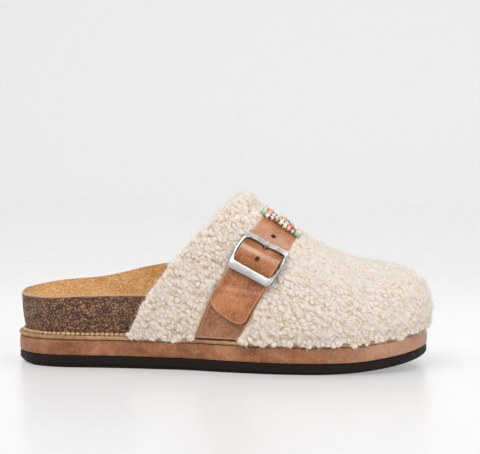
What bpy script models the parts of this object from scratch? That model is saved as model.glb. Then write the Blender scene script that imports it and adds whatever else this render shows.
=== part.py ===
# A right-foot clog: closed fleece toe, dished cork footbed, one buckled leather strap with beads.
# Sizes are in millimetres: along the shoe from its heel end, across it from the heel's middle line
# (inner, medial side positive) and up from the floor. Meshes are in metres, with the toe along +X.

import math

import bmesh
import bpy
import numpy as np
from mathutils import Matrix, Vector

MM = 0.001
CLEARANCE = 0.3
ORIGIN = np.array((132.83, 0.58, 0.0))

# Sole outline and layers
SOLE_LENGTH = 262.0
HEEL_ROUND = 40.0
HEEL_POWER = 2.2
TOE_ROUND = 67.0
TOE_POWER = 2.4
STATIONS = 26
BAND_HEIGHT = 5.0
MIDSOLE_TOP = 14.0
WELT_BOTTOM = MIDSOLE_TOP + CLEARANCE
WELT_TOP = 16.4
WELT_INNER = 11.0
RIB_HEIGHT = 2.0
RIB_FADE = (60.0, 70.0)
TREAD_INSET = 3.2
TREAD_REACH = (4.0, 257.0)
TREAD_PITCH = 6.0
TREAD_LAND = 3.4
TREAD_GROOVE = 1.4
TREAD_PADS = ((46.0, 68.0), (166.0, 190.0))

# Footbed and its liner
CUP_POWER = 2.6
CUP_COLUMNS = 9
LINER_THICKNESS = 1.4
LINER_INSET = 0.15

# Fleece upper
OVERHANG = 2.8
WALL = 8.0
TOP_DROP = 1.1
TOE_STRETCH = 200.0
HEM_TUCK = 2.2
HEM_RISE = 14.0
COLLAR_ROLL = 2.5
LOCK_HEIGHT = 1.5
LOCK_SEED = 11
GIRTH_STEPS = 42
TOE_STEPS = 11
INNER_STRIDE = 3

# Strap, in its own lengths: from the ridge of the upper, down the outer side negative
STRAP_REAR = 117.3
STRAP_FRONT = 147.9
STRAP_STEPS = 6
STRAP_BED = 2.9
STRAP_PRESS = 3.7
STRAP_THICKNESS = 1.8
STRAP_FOOT_GAP = 1.2
STRAP_SHOULDER = 2.2
STRAP_SKEW = 6.0
SKEW_REACH = 66.0
SKEW_POWER = 0.6
BASE_REAR = 0.065
BASE_FRONT = 0.96
TOP_REAR = 0.078
TOP_FRONT = 0.96
STEP = (STRAP_FRONT - STRAP_REAR) / STRAP_STEPS
COLLAR_FOOT = STRAP_REAR - 8 * STEP
TOE_FROM = STRAP_FRONT + 17 * STEP

# Buckle and beads
BAR_AT = -47.5
BAR_RADIUS = 1.1
BAR_HEIGHT = STRAP_THICKNESS + CLEARANCE + BAR_RADIUS
FOLD_RADIUS = BAR_RADIUS + CLEARANCE + STRAP_THICKNESS
FOLD_LENGTH = 6.5
TAIL_LENGTH = 36.0
TAIL_SLANT = 9.0
TAIL_ROUND = 9.0
FRAME_HALF_LENGTH = 10.4
FRAME_HALF_WIDTH = 13.6
FRAME_BULGE = 0.14
FRAME_CORNER = 0.16
FRAME_RAIL = 0.75
FRAME_MIDDLE = 0.53
HOLE_RADIUS = 1.3
HOLE_PITCH = 9.5
HOLE_FIRST = -1.9
PRONG_RADIUS = 0.8
BEAD_RADIUS = 1.5
BEADS_IN_ROW = 9
BEAD_PITCH = 3.0
BEAD_ROWS = (-8.4, -5.2, -2.0, 1.2, 4.4)


def table(columns, *rows):
    """Named columns of a short table, one row for each section."""
    return dict(zip(columns.split(), np.array(rows, float).T))


OUTLINE = table(
    "along centre half",
    (0, 0.0, 37.0),
    (40, 0.0, 37.0),
    (72, -1.0, 35.6),
    (105, -2.5, 36.2),
    (140, -2.5, 43.5),
    (180, -1.0, 50.0),
    (215, 2.5, 51.0),
    (262, 9.0, 51.0),
)

PROFILE = table(
    "along tread edge",
    (0, 1.9, 2.6),
    (18, 0.0, 2.6),
    (60, 0.0, 2.6),
    (120, 0.0, 2.3),
    (192, 0.0, 1.8),
    (215, 0.8, 2.2),
    (240, 3.4, 4.6),
    (262, 7.4, 8.2),
)

FOOTBED = table(
    "along foot_inset rim_inset lateral medial seat",
    (0, 4.6, 1.9, 24.6, 24.6, 24.6),
    (8, 4.6, 1.9, 24.0, 26.6, 18.5),
    (22, 4.6, 1.9, 24.0, 29.4, 15.0),
    (45, 4.6, 1.9, 25.2, 31.4, 13.6),
    (66, 5.2, 3.0, 25.8, 35.4, 13.8),
    (76, 6.1, 4.6, 26.0, 37.8, 14.1),
    (96, 6.2, 8.0, 25.0, 40.4, 14.4),
    (115, 6.2, 10.4, 20.0, 33.0, 13.4),
    (140, 6.2, 9.4, 13.0, 19.0, 10.5),
    (175, 6.0, 7.0, 9.0, 10.5, 7.5),
    (205, 6.0, 6.5, 7.5, 8.0, 6.3),
    (235, 6.0, 6.5, 7.2, 7.4, 6.6),
    (262, 6.0, 6.5, 7.2, 7.2, 7.2),
)

VAMP = table(
    "along lean bow top ridge full",
    (COLLAR_FOOT, 38.4, 0.39, 109.6, 2.5, 2.9),
    (95, 33.6, 0.22, 106.2, 3.0, 2.8),
    (STRAP_REAR, 26.8, 0.25, 100.0, 3.5, 2.7),
    (STRAP_FRONT, 27.4, 0.25, 83.8, 4.0, 2.6),
    (170, 24.0, 0.2, 75.8, 4.5, 2.5),
    (195, 17.0, 0.0, 68.8, 5.0, 2.5),
    (220, 9.0, 0.0, 65.0, 6.0, 2.5),
    (240, 3.0, 0.0, 62.6, 7.0, 2.5),
    (255, 0.0, 0.0, 57.0, 8.0, 2.4),
    (262, 0.0, 0.0, 48.5, 8.7, 2.3),
    (SOLE_LENGTH + OVERHANG, 0.0, 0.0, 37.5, 9.0, 2.2),
)

STRAP_PATH = table(
    "along height",
    (-60.0, 2.1),
    (-17.0, 2.1),
    (-14.0, 2.2),
    (-11.0, 2.7),
    (-8.0, 3.8),
    (-6.0, 4.8),
    (-3.0, 6.3),
    (0.0, 6.8),
    (2.5, 6.0),
    (4.0, 4.6),
    (6.0, 2.8),
    (7.5, 1.9),
    (9.0, 1.4),
    (12.0, 1.2),
    (17.0, 0.3),
    (20.0, 0.0),
    (180.0, 0.0),
)


def eased(rows, column, at):
    """A column read between its rows on a smooth curve that never overshoots them."""
    x = rows["along"]
    y = rows[column]
    at = np.asarray(at, float)
    step = np.diff(x)
    slope = np.diff(y) / step
    both = slope[:-1] * slope[1:]
    total = slope[:-1] + slope[1:]
    inner = np.where(both > 0, 2 * both / np.where(both > 0, total, 1), 0)
    tangent = np.concatenate(([slope[0]], inner, [slope[-1]]))
    i = np.clip(np.searchsorted(x, at, side="right") - 1, 0, len(step) - 1)
    t = np.clip((at - x[i]) / step[i], 0, 1)
    rise = y[i + 1] - y[i]
    start = tangent[i] * step[i]
    end = tangent[i + 1] * step[i]
    return y[i] + start * t + (3 * rise - 2 * start - end) * t**2 + (start + end - 2 * rise) * t**3


def half_width(along, inset):
    """Half the sole's width at an inset from its outline, rounded in at the heel and at the toe."""
    heel = np.clip((HEEL_ROUND - along) / (HEEL_ROUND - inset), 0, 1)
    toe = np.clip((along - SOLE_LENGTH + TOE_ROUND) / (TOE_ROUND - inset), 0, 1)
    rounding = (1 - heel**HEEL_POWER) ** (1 / HEEL_POWER) * (1 - toe**TOE_POWER) ** (1 / TOE_POWER)
    return (eased(OUTLINE, "half", along) - inset) * rounding


def edge(along, side, inset):
    return eased(OUTLINE, "centre", along) + side * half_width(along, inset)


def layer(lift):
    """Height of a level that follows the sole's side band, with its toe spring."""
    return lambda along, side: eased(PROFILE, "edge", along) + lift


def rib_top(along, side):
    fade = np.clip((RIB_FADE[1] - along) / (RIB_FADE[1] - RIB_FADE[0]), 0.06, 1)
    return eased(PROFILE, "edge", along) + WELT_TOP + RIB_HEIGHT * fade


def rim_height(lift):
    """Height of the footbed's rim on either side."""

    def height(along, side):
        column = "lateral" if side < 0 else "medial"
        return layer(WELT_TOP + lift)(along, side) + eased(FOOTBED, column, along)

    return height


def footbed_inset(column, extra):
    return lambda along: eased(FOOTBED, column, along) + extra


def constant(value):
    return lambda along: np.full_like(np.asarray(along, float), value)


def stations(inset):
    """Places along the shoe, closer together at both ends, for an outline at this inset."""
    start = float(inset(0.0))
    reach = SOLE_LENGTH - start - float(inset(SOLE_LENGTH))
    return start + reach * (1 - np.cos(np.linspace(0, math.pi, STATIONS + 1))) / 2


def outline_loop(inset, height):
    """Closed outline: heel end, lateral edge to the toe end, and back along the medial edge."""
    along = stations(inset)
    sides = [
        np.column_stack((along, edge(along, side, inset(along)), height(along, side)))
        for side in (-1, 1)
    ]
    return np.vstack((sides[0], sides[1][-2:0:-1]))


def bands(count, loops, wrap=False):
    """Quads between neighbouring closed loops of points; wrap joins the last loop to the first."""
    faces = []
    for near in range(loops if wrap else loops - 1):
        far = (near + 1) % loops
        for i in range(count):
            j = (i + 1) % count
            faces.append((near * count + i, near * count + j, far * count + j, far * count + i))
    return faces


def lid(count, loop):
    """Strips across a closed outline, from its lateral edge to its medial edge."""
    faces = []
    for k in range(count // 2):
        corners = (k, k + 1, count - k - 1, (count - k) % count)
        faces.append(tuple(dict.fromkeys(loop * count + i for i in corners)))
    return faces


def new_material(name, colour, roughness, metallic=0.0):
    material = bpy.data.materials.new(name)
    material.use_nodes = True
    shader = material.node_tree.nodes["Principled BSDF"]
    shader.inputs["Base Color"].default_value = (*colour, 1.0)
    shader.inputs["Roughness"].default_value = roughness
    shader.inputs["Metallic"].default_value = metallic
    material.diffuse_color = (*colour, 1.0)
    return material


def add_part(name, points, faces, material, collection):
    """One closed solid from lofted faces, its seams welded and its faces turned outward."""
    mesh = bpy.data.meshes.new(name)
    mesh.from_pydata([tuple(point) for point in (np.asarray(points) - ORIGIN) * MM], [], faces)
    form = bmesh.new()
    form.from_mesh(mesh)
    bmesh.ops.remove_doubles(form, verts=form.verts, dist=1e-6)
    bmesh.ops.dissolve_degenerate(form, edges=form.edges, dist=1e-7)
    bmesh.ops.recalc_face_normals(form, faces=form.faces)
    form.to_mesh(mesh)
    form.free()
    part = bpy.data.objects.new(name, mesh)
    mesh.materials.append(material)
    collection.objects.link(part)
    return part


def combine(part, tool, operation):
    modifier = part.modifiers.new(f"{operation.lower()}_{tool.name}", "BOOLEAN")
    modifier.operation = operation
    modifier.solver = "EXACT"
    modifier.object = tool
    tool.hide_render = True
    tool.display_type = "WIRE"


def stacked(levels):
    """Loops of a sole layer and the quads between them, from (inset, height) levels."""
    loops = [outline_loop(constant(inset), height) for inset, height in levels]
    return loops, bands(len(loops[0]), len(loops))


def plate(name, levels, material, collection):
    """A sole layer: closed outlines one above another, with strips across the first and last."""
    loops, faces = stacked(levels)
    count = len(loops[0])
    faces = faces + lid(count, 0) + lid(count, len(loops) - 1)
    return add_part(name, np.vstack(loops), faces, material, collection)


def tread_pad(material, collection):
    """The recessed tread: cross ribs with V grooves, and a broad flat pad at heel and ball."""
    along = []
    grooved = []
    at = TREAD_REACH[0]
    while at < TREAD_REACH[1] - TREAD_PITCH:
        end = at + TREAD_LAND
        for start, finish in TREAD_PADS:
            if start - TREAD_PITCH / 2 <= at < finish:
                end = finish
        along += [at, end, end + (TREAD_PITCH - TREAD_LAND) / 2]
        grooved += [0, 0, 1]
        at = end + TREAD_PITCH - TREAD_LAND
    along += [at, TREAD_REACH[1]]
    grooved += [0, 0]
    along = np.array(along)
    bottom = eased(PROFILE, "tread", along) + TREAD_GROOVE * np.array(grooved)
    top = eased(PROFILE, "edge", along) + 1.0
    lateral = edge(along, -1, TREAD_INSET)
    medial = edge(along, 1, TREAD_INSET)
    corners = ((lateral, bottom), (medial, bottom), (medial, top), (lateral, top))
    points = np.stack([np.column_stack((along, across, up)) for across, up in corners], axis=1)
    last = 4 * (len(along) - 1)
    faces = bands(4, len(along)) + [(0, 1, 2, 3), tuple(last + i for i in range(4))]
    return add_part("tread", points.reshape(-1, 3), faces, material, collection)


def dish(inset, lift):
    """The footbed's top: rows across it, dished between its lateral and medial rims."""
    along = stations(inset)
    half = half_width(along, inset(along))
    share = np.linspace(-1, 1, CUP_COLUMNS)
    low = np.clip(-share, 0, 1) ** CUP_POWER
    high = np.clip(share, 0, 1) ** CUP_POWER
    seat = eased(FOOTBED, "seat", along)[:, None]
    lateral = eased(FOOTBED, "lateral", along)[:, None]
    medial = eased(FOOTBED, "medial", along)[:, None]
    up = seat + (lateral - seat) * low + (medial - seat) * high
    up = up + layer(WELT_TOP + lift)(along, 0)[:, None]
    across = eased(OUTLINE, "centre", along)[:, None] + half[:, None] * share
    grid = np.stack((np.broadcast_to(along[:, None], up.shape), across, up), axis=2)
    grid[0] = (along[0], across[0, 0], rim_height(lift)(along[0], -1))
    grid[-1] = (along[-1], across[-1, 0], rim_height(lift)(along[-1], -1))
    return grid


def grid_faces(rows, columns, first):
    return [
        (
            first + i * columns + j,
            first + i * columns + j + 1,
            first + (i + 1) * columns + j + 1,
            first + (i + 1) * columns + j,
        )
        for i in range(rows - 1)
        for j in range(columns - 1)
    ]


def footbed_part(material, collection):
    """Cork: a plug inside the welt, a side that flares up to the rim, and the dished top."""
    rim = footbed_inset("rim_inset", 0.0)
    loops = [
        outline_loop(constant(WELT_INNER + CLEARANCE + 0.1), layer(WELT_BOTTOM)),
        outline_loop(constant(WELT_INNER + CLEARANCE + 0.1), layer(WELT_TOP + CLEARANCE)),
        outline_loop(footbed_inset("foot_inset", 0.0), layer(WELT_TOP + CLEARANCE)),
        outline_loop(rim, rim_height(0.0)),
    ]
    count = len(loops[0])
    top = dish(rim, 0.0)
    faces = bands(count, len(loops)) + lid(count, 0)
    faces += grid_faces(top.shape[0], top.shape[1], count * len(loops))
    points = np.vstack(loops + [top.reshape(-1, 3)])
    return add_part("footbed", points, faces, material, collection)


def insole_part(material, collection):
    """Liner of even thickness on the dished top, flush with the cork's rim."""
    inset = footbed_inset("rim_inset", LINER_INSET)
    lifts = (CLEARANCE, CLEARANCE + LINER_THICKNESS)
    loops = [outline_loop(inset, rim_height(lift)) for lift in lifts]
    tops = [dish(inset, lift) for lift in lifts]
    count = len(loops[0])
    size = tops[0].shape[0] * tops[0].shape[1]
    faces = bands(count, 2)
    for index, top in enumerate(tops):
        faces += grid_faces(top.shape[0], top.shape[1], 2 * count + index * size)
    points = np.vstack(loops + [top.reshape(-1, 3) for top in tops])
    return add_part("insole", points, faces, material, collection)


def upper_point(foot, girth, depth):
    """A point of the upper. foot: where its section meets the welt, leaning forward as it rises.
    girth: -1 at the lateral hem, 0 on the ridge, 1 at the medial hem. depth: in from the fleece."""
    foot = np.asarray(foot, float)
    girth = np.asarray(girth, float)
    full = eased(VAMP, "full", foot)
    spread = np.abs(girth) ** (full / 2)
    turn = spread / (spread + (1 - np.abs(girth)) ** (full / 2)) * math.pi / 2
    climb = np.abs(np.cos(turn)) ** (2 / full) * (np.abs(girth) < 1)
    height = eased(VAMP, "top", foot) - TOP_DROP * depth
    base = layer(WELT_TOP + CLEARANCE)(foot, 0)
    tuck = HEM_TUCK * np.clip(1 - (height - base) * climb / HEM_RISE, 0, 1) ** 2
    inset = depth - OVERHANG + tuck * np.clip(1 - depth / WALL, 0, 1)
    squeeze = (SOLE_LENGTH - TOE_STRETCH - inset) / (SOLE_LENGTH - TOE_STRETCH + OVERHANG)
    place = np.where(foot > TOE_STRETCH, TOE_STRETCH + (foot - TOE_STRETCH) * squeeze, foot)
    base = layer(WELT_TOP + CLEARANCE)(place, 0)
    rise = (height - base) * climb
    ridge = eased(VAMP, "ridge", foot)
    hem = edge(place, np.where(girth < 0, -1, 1), inset)
    across = ridge + (hem - ridge) * np.abs(np.sin(turn)) ** (2 / full)
    bow = 1 - eased(VAMP, "bow", foot) * (1 - climb)
    along = place + np.tan(np.radians(eased(VAMP, "lean", foot))) * rise * bow
    return np.stack(np.broadcast_arrays(along, across, base + rise), axis=-1)


def upper_stations():
    """Section feet from the collar to the toe, with sections on both edges of the strap."""
    straight = COLLAR_FOOT + STEP * np.arange(round((TOE_FROM - COLLAR_FOOT) / STEP))
    for strap_edge, outward in ((STRAP_REAR, -1), (STRAP_FRONT, 1)):
        straight[np.abs(straight - strap_edge - outward * STEP) < 0.1] = strap_edge + outward * STRAP_SHOULDER
    reach = SOLE_LENGTH + OVERHANG - TOE_FROM
    return np.concatenate((straight, TOE_FROM + reach * np.sin(np.linspace(0, math.pi / 2, TOE_STEPS + 1))))


def upper_part(material, collection):
    """One hollow fleece wall: locks on its outer face, smooth inside, open at the collar and below."""
    feet = upper_stations()
    girth = np.linspace(-1, 1, GIRTH_STEPS + 1)
    rows = len(feet)
    columns = len(girth)
    pressed = (feet > STRAP_REAR - 1) & (feet < STRAP_FRONT + 1)
    chance = np.random.default_rng(LOCK_SEED)
    row, column = np.indices((rows, columns))
    tufts = (row % 2 == 1) & ((column + row // 2) % 2 == 1)
    locks = np.where(tufts, chance.uniform(0.7, 1.3, tufts.shape), chance.uniform(0.0, 0.35, tufts.shape))
    shoulder = np.minimum(np.abs(feet - STRAP_REAR + STRAP_SHOULDER), np.abs(feet - STRAP_FRONT - STRAP_SHOULDER))
    locks[shoulder < 0.1] = 0
    locks[-1] = 0
    locks[:, 0] *= 0.5
    locks[:, -1] *= 0.5
    depth = np.where(pressed[:, None], STRAP_PRESS, 0.6 - LOCK_HEIGHT * locks)
    outer = upper_point(feet[:, None], girth[None, :], depth)
    inner = upper_point(feet[::INNER_STRIDE, None], girth[None, ::INNER_STRIDE], WALL)
    inner_rows, inner_columns = inner.shape[:2]
    outer[0, :, 0] += COLLAR_ROLL * (1 - np.abs(girth) ** 6)
    ends = np.linspace(0, 1, columns)
    lip = outer[0] + (upper_point(feet[0], girth, WALL) - outer[0]) * 0.45
    lip[:, 0] -= COLLAR_ROLL * 1.4 * np.sin(math.pi * ends) ** 0.5
    first = rows * columns
    second = first + inner_rows * inner_columns
    faces = grid_faces(rows, columns, 0) + grid_faces(inner_rows, inner_columns, first)
    for j in range(columns - 1):
        faces.append((j, j + 1, second + j + 1, second + j))
    for j in range(inner_columns - 1):
        near = [second + INNER_STRIDE * j + k for k in range(INNER_STRIDE + 1)]
        faces.append((*near, first + j + 1, first + j))
    for column, far in ((0, 0), (columns - 1, inner_columns - 1)):
        for i in range(inner_rows - 1):
            near = [(INNER_STRIDE * i + k) * columns + column for k in range(INNER_STRIDE + 1)]
            away = [first + (i + 1) * inner_columns + far, first + i * inner_columns + far]
            if i == 0:
                near.insert(0, second + column)
            faces.append((*near, *away))
    points = np.vstack((outer.reshape(-1, 3), inner.reshape(-1, 3), lip))
    return add_part("upper", points, faces, material, collection)


def edge_lengths(foot):
    """Girth positions along one edge of the strap, against length from the ridge."""
    girth = np.linspace(-1, 1, 401)
    path = upper_point(foot, girth, STRAP_BED)
    length = np.concatenate(([0], np.cumsum(np.linalg.norm(np.diff(path, axis=0), axis=1))))
    return girth, length - length[200]


EDGES = {foot: edge_lengths(foot) for foot in (STRAP_REAR, STRAP_FRONT)}
FOOT_OUTER = min(-EDGES[foot][1][0] for foot in EDGES) - STRAP_FOOT_GAP
FOOT_INNER = min(EDGES[foot][1][-1] for foot in EDGES) - STRAP_FOOT_GAP
SPREAD_OUTER = BAR_AT - FRAME_HALF_LENGTH
SPREAD_INNER = 15.0


def strap_point(width, length, height):
    """A point on the strap: width 0 at its rear edge and 1 at its front edge, length from the ridge,
    height above the pressed fleece. Towards the welt both edges stretch to reach it together."""
    ends = []
    for foot in (STRAP_REAR, STRAP_FRONT):
        girth, lengths = EDGES[foot]
        length = np.asarray(length, float)
        skew = STRAP_SKEW if foot == STRAP_FRONT else 0.0
        start = SPREAD_OUTER - skew
        outer = (-lengths[0] - STRAP_FOOT_GAP + start) / (FOOT_OUTER + SPREAD_OUTER)
        inner = (lengths[-1] - STRAP_FOOT_GAP - SPREAD_INNER) / (FOOT_INNER - SPREAD_INNER)
        at = length - skew * np.clip(-length / SKEW_REACH, 0, 1) ** SKEW_POWER
        at = np.where(length < SPREAD_OUTER, start + (length - SPREAD_OUTER) * outer, at)
        at = np.where(at > SPREAD_INNER, SPREAD_INNER + (at - SPREAD_INNER) * inner, at)
        ends.append(upper_point(foot, np.interp(at, lengths, girth), STRAP_BED - np.asarray(height, float)))
    width = np.asarray(width, float)[..., None]
    return ends[0] + (ends[1] - ends[0]) * width


def strap_part(name, widths, profile, material, collection):
    """A strap: one closed side profile of (length, height) points, repeated across its width."""
    loops = [strap_point(np.full(len(profile(w)), w), *np.array(profile(w)).T) for w in widths]
    count = len(loops[0])
    last = count * (len(loops) - 1)
    faces = bands(count, len(loops)) + [tuple(range(count)), tuple(range(last, last + count))]
    return add_part(name, np.vstack(loops), faces, material, collection)


def base_profile(width):
    """The lower strap: up from the welt, round the buckle's bar and a short way back."""
    lengths = np.linspace(-FOOT_OUTER, BAR_AT - FOLD_LENGTH, 7)
    under = [(at, 0.0) for at in (*lengths, BAR_AT - 4)]
    turns = np.radians(np.linspace(-90, 90, 7))
    outside = [(BAR_AT + FOLD_RADIUS * math.cos(t), FOLD_RADIUS * (1 + math.sin(t))) for t in turns]
    back = [(BAR_AT - 2.6, 5.8), (BAR_AT - 5.0, 4.6), (BAR_AT - FOLD_LENGTH, 3.8)]
    flap = [(BAR_AT - FOLD_LENGTH, 2.1), (BAR_AT - 4.6, 2.8), (BAR_AT - 2.0, 4.2)]
    inside_radius = BAR_RADIUS + CLEARANCE
    inside = [
        (BAR_AT + inside_radius * math.cos(t), BAR_HEIGHT + inside_radius * math.sin(t)) for t in turns[::-1]
    ]
    over = [(at, STRAP_THICKNESS) for at in (BAR_AT - 4, *lengths[::-1])]
    return under + outside + back + flap + inside + over


def top_profile(width):
    """The upper strap: its tail, rounded across the width, through the buckle and over to the welt."""
    share = (width - TOP_REAR) / (TOP_FRONT - TOP_REAR)
    round_off = TAIL_ROUND * (1 - max(1 - abs(2 * share - 1) ** 3, 0) ** (1 / 3))
    tail = round_off + TAIL_SLANT * (0.5 - share) - TAIL_LENGTH
    near = (-13, -10, -7, -4, -2, 0, 2, 3, 4, 5, 6, 7, 8, 9.5, 12, 15, 18, 22)
    lengths = [BAR_AT + at for at in (*np.linspace(tail, -16, 4), *near)]
    lengths += list(np.linspace(BAR_AT + 22, FOOT_INNER, 15)[1:])
    heights = eased(STRAP_PATH, "height", np.array(lengths) - BAR_AT)
    under = list(zip(lengths, heights))
    over = [(at, up + STRAP_THICKNESS) for at, up in under[::-1]]
    return under + over


def strap_frame(length, height, width=0.5):
    """Matrix on the strap: x across to its front edge, y along it to the ridge, z outward."""
    place = strap_point(width, length, height)
    across = Vector(strap_point(1.0, length, height) - strap_point(0.0, length, height)).normalized()
    along = Vector(strap_point(0.5, length + 2, height) - strap_point(0.5, length - 2, height))
    out = across.cross(along).normalized()
    along = out.cross(across).normalized()
    turn = Matrix((across, along, out)).transposed().to_4x4()
    return Matrix.Translation(Vector(place - ORIGIN) * MM) @ turn


def cylinder(name, radius, length, place, axis_turn, material, collection):
    """A round bar or punch, placed on the strap and turned from its outward axis."""
    form = bmesh.new()
    bmesh.ops.create_cone(
        form, cap_ends=True, segments=10, radius1=radius * MM, radius2=radius * MM, depth=length * MM
    )
    mesh = bpy.data.meshes.new(name)
    form.to_mesh(mesh)
    form.free()
    mesh.materials.append(material)
    part = bpy.data.objects.new(name, mesh)
    part.matrix_world = place @ axis_turn
    collection.objects.link(part)
    return part


def frame_turns():
    """Angles round the buckle's frame, closer together at its four corners."""
    even = np.linspace(0, 2 * math.pi, 33)[:-1]
    return even - 0.22 * np.sin(4 * even)


def buckle_part(material, collection, cutters):
    """Bowed frame: narrow bowed sides, a flat upper bar, a broad lower bar and the centre bar."""
    width = np.linalg.norm(strap_point(1.0, BAR_AT, 0.0) - strap_point(0.0, BAR_AT, 0.0))
    loops = []
    for turn in frame_turns():
        up = math.copysign(abs(math.cos(turn)) ** FRAME_CORNER, math.cos(turn))
        side = math.copysign(abs(math.sin(turn)) ** FRAME_CORNER, math.sin(turn))
        bar = abs(up) ** 6
        half = FRAME_RAIL + bar * (0.9 if up > 0 else 1.6)
        bulge = 1 + FRAME_BULGE * (1 - up * up)
        bottom = 3.7 + (1 - up) / 2 * 2.9 - 2.0 * (1 - up * up) ** 3
        thick = 1.7 + bar * (0.0 if up > 0 else 0.7) + 1.2 * (1 - up * up)
        corners = ((-1, 0), (1, 0), (1, 0.6), (0.55, 1), (-0.55, 1), (-1, 0.6))
        loop = []
        for out, share in corners:
            reach = (FRAME_HALF_LENGTH + out * half) * up
            across = FRAME_MIDDLE + (FRAME_HALF_WIDTH + out * half) * side * bulge / width
            loop.append(strap_point(across, BAR_AT + reach, bottom + share * thick))
        loops.append(np.array(loop))
    faces = bands(6, len(loops), wrap=True)
    buckle = add_part("buckle", np.vstack(loops), faces, material, collection)
    across = Matrix.Rotation(math.pi / 2, 4, "Y")
    span = 2 * (FRAME_HALF_WIDTH * (1 + FRAME_BULGE))
    centre = strap_frame(BAR_AT, BAR_HEIGHT, FRAME_MIDDLE)
    bar = cylinder("bar", BAR_RADIUS, span, centre, across, material, cutters)
    combine(buckle, bar, "UNION")
    along = Matrix.Rotation(math.pi / 2, 4, "X")
    seat = strap_frame(BAR_AT + FRAME_HALF_LENGTH, 6.3, FRAME_MIDDLE)
    notch = cylinder("notch", PRONG_RADIUS + CLEARANCE, 9.0, seat, along, material, cutters)
    combine(buckle, notch, "DIFFERENCE")
    return buckle


def prong_part(material, collection):
    """A bent pin: from beside the bar, under the strap, up through its hole to the upper bar."""
    path = table(
        "length height",
        (3.9, 2.5),
        (6.0, 1.3),
        (7.1, 1.5),
        (7.5, 3.0),
        (7.6, 5.4),
        (8.3, 6.3),
        (11.2, 6.4),
    )
    curve = bpy.data.curves.new("prong", "CURVE")
    curve.dimensions = "3D"
    curve.bevel_depth = PRONG_RADIUS * MM
    curve.bevel_resolution = 2
    curve.use_fill_caps = True
    spline = curve.splines.new("POLY")
    spline.points.add(len(path["length"]) - 1)
    for point, length, height in zip(spline.points, path["length"], path["height"]):
        place = (strap_point(FRAME_MIDDLE, BAR_AT + length, height) - ORIGIN) * MM
        point.co = (*place, 1.0)
    curve.materials.append(material)
    part = bpy.data.objects.new("prong", curve)
    collection.objects.link(part)
    return part


def bead_row(index, length, material, collection):
    """Beads touching on a string, turned as one profile about the string and laid across the strap."""
    neck = 0.35 * BEAD_RADIUS
    profile = [(0.0, 0.0)]
    for bead in range(BEADS_IN_ROW):
        start = bead * BEAD_PITCH
        for radius, share in ((neck, 0.0), (BEAD_RADIUS, 0.3), (BEAD_RADIUS, 0.7)):
            profile.append((radius, start + share * BEAD_PITCH))
    end = BEADS_IN_ROW * BEAD_PITCH
    profile += [(neck, end), (0.0, end)]
    middle = end / 2
    mesh = bpy.data.meshes.new(f"bead_row_{index}")
    points = [(radius * MM, 0.0, (at - middle) * MM) for radius, at in profile]
    mesh.from_pydata(points, [(i, i + 1) for i in range(len(points) - 1)], [])
    mesh.materials.append(material)
    row = bpy.data.objects.new(f"bead_row_{index}", mesh)
    turn = row.modifiers.new("turned", "SCREW")
    turn.axis = "Z"
    turn.steps = 5
    turn.render_steps = 5
    turn.use_merge_vertices = True
    turn.merge_threshold = 1e-5
    turn.use_normal_calculate = True
    height = STRAP_THICKNESS + CLEARANCE + BEAD_RADIUS
    row.matrix_world = strap_frame(length, height) @ Matrix.Rotation(math.pi / 2, 4, "Y")
    collection.objects.link(row)
    return row


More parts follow.
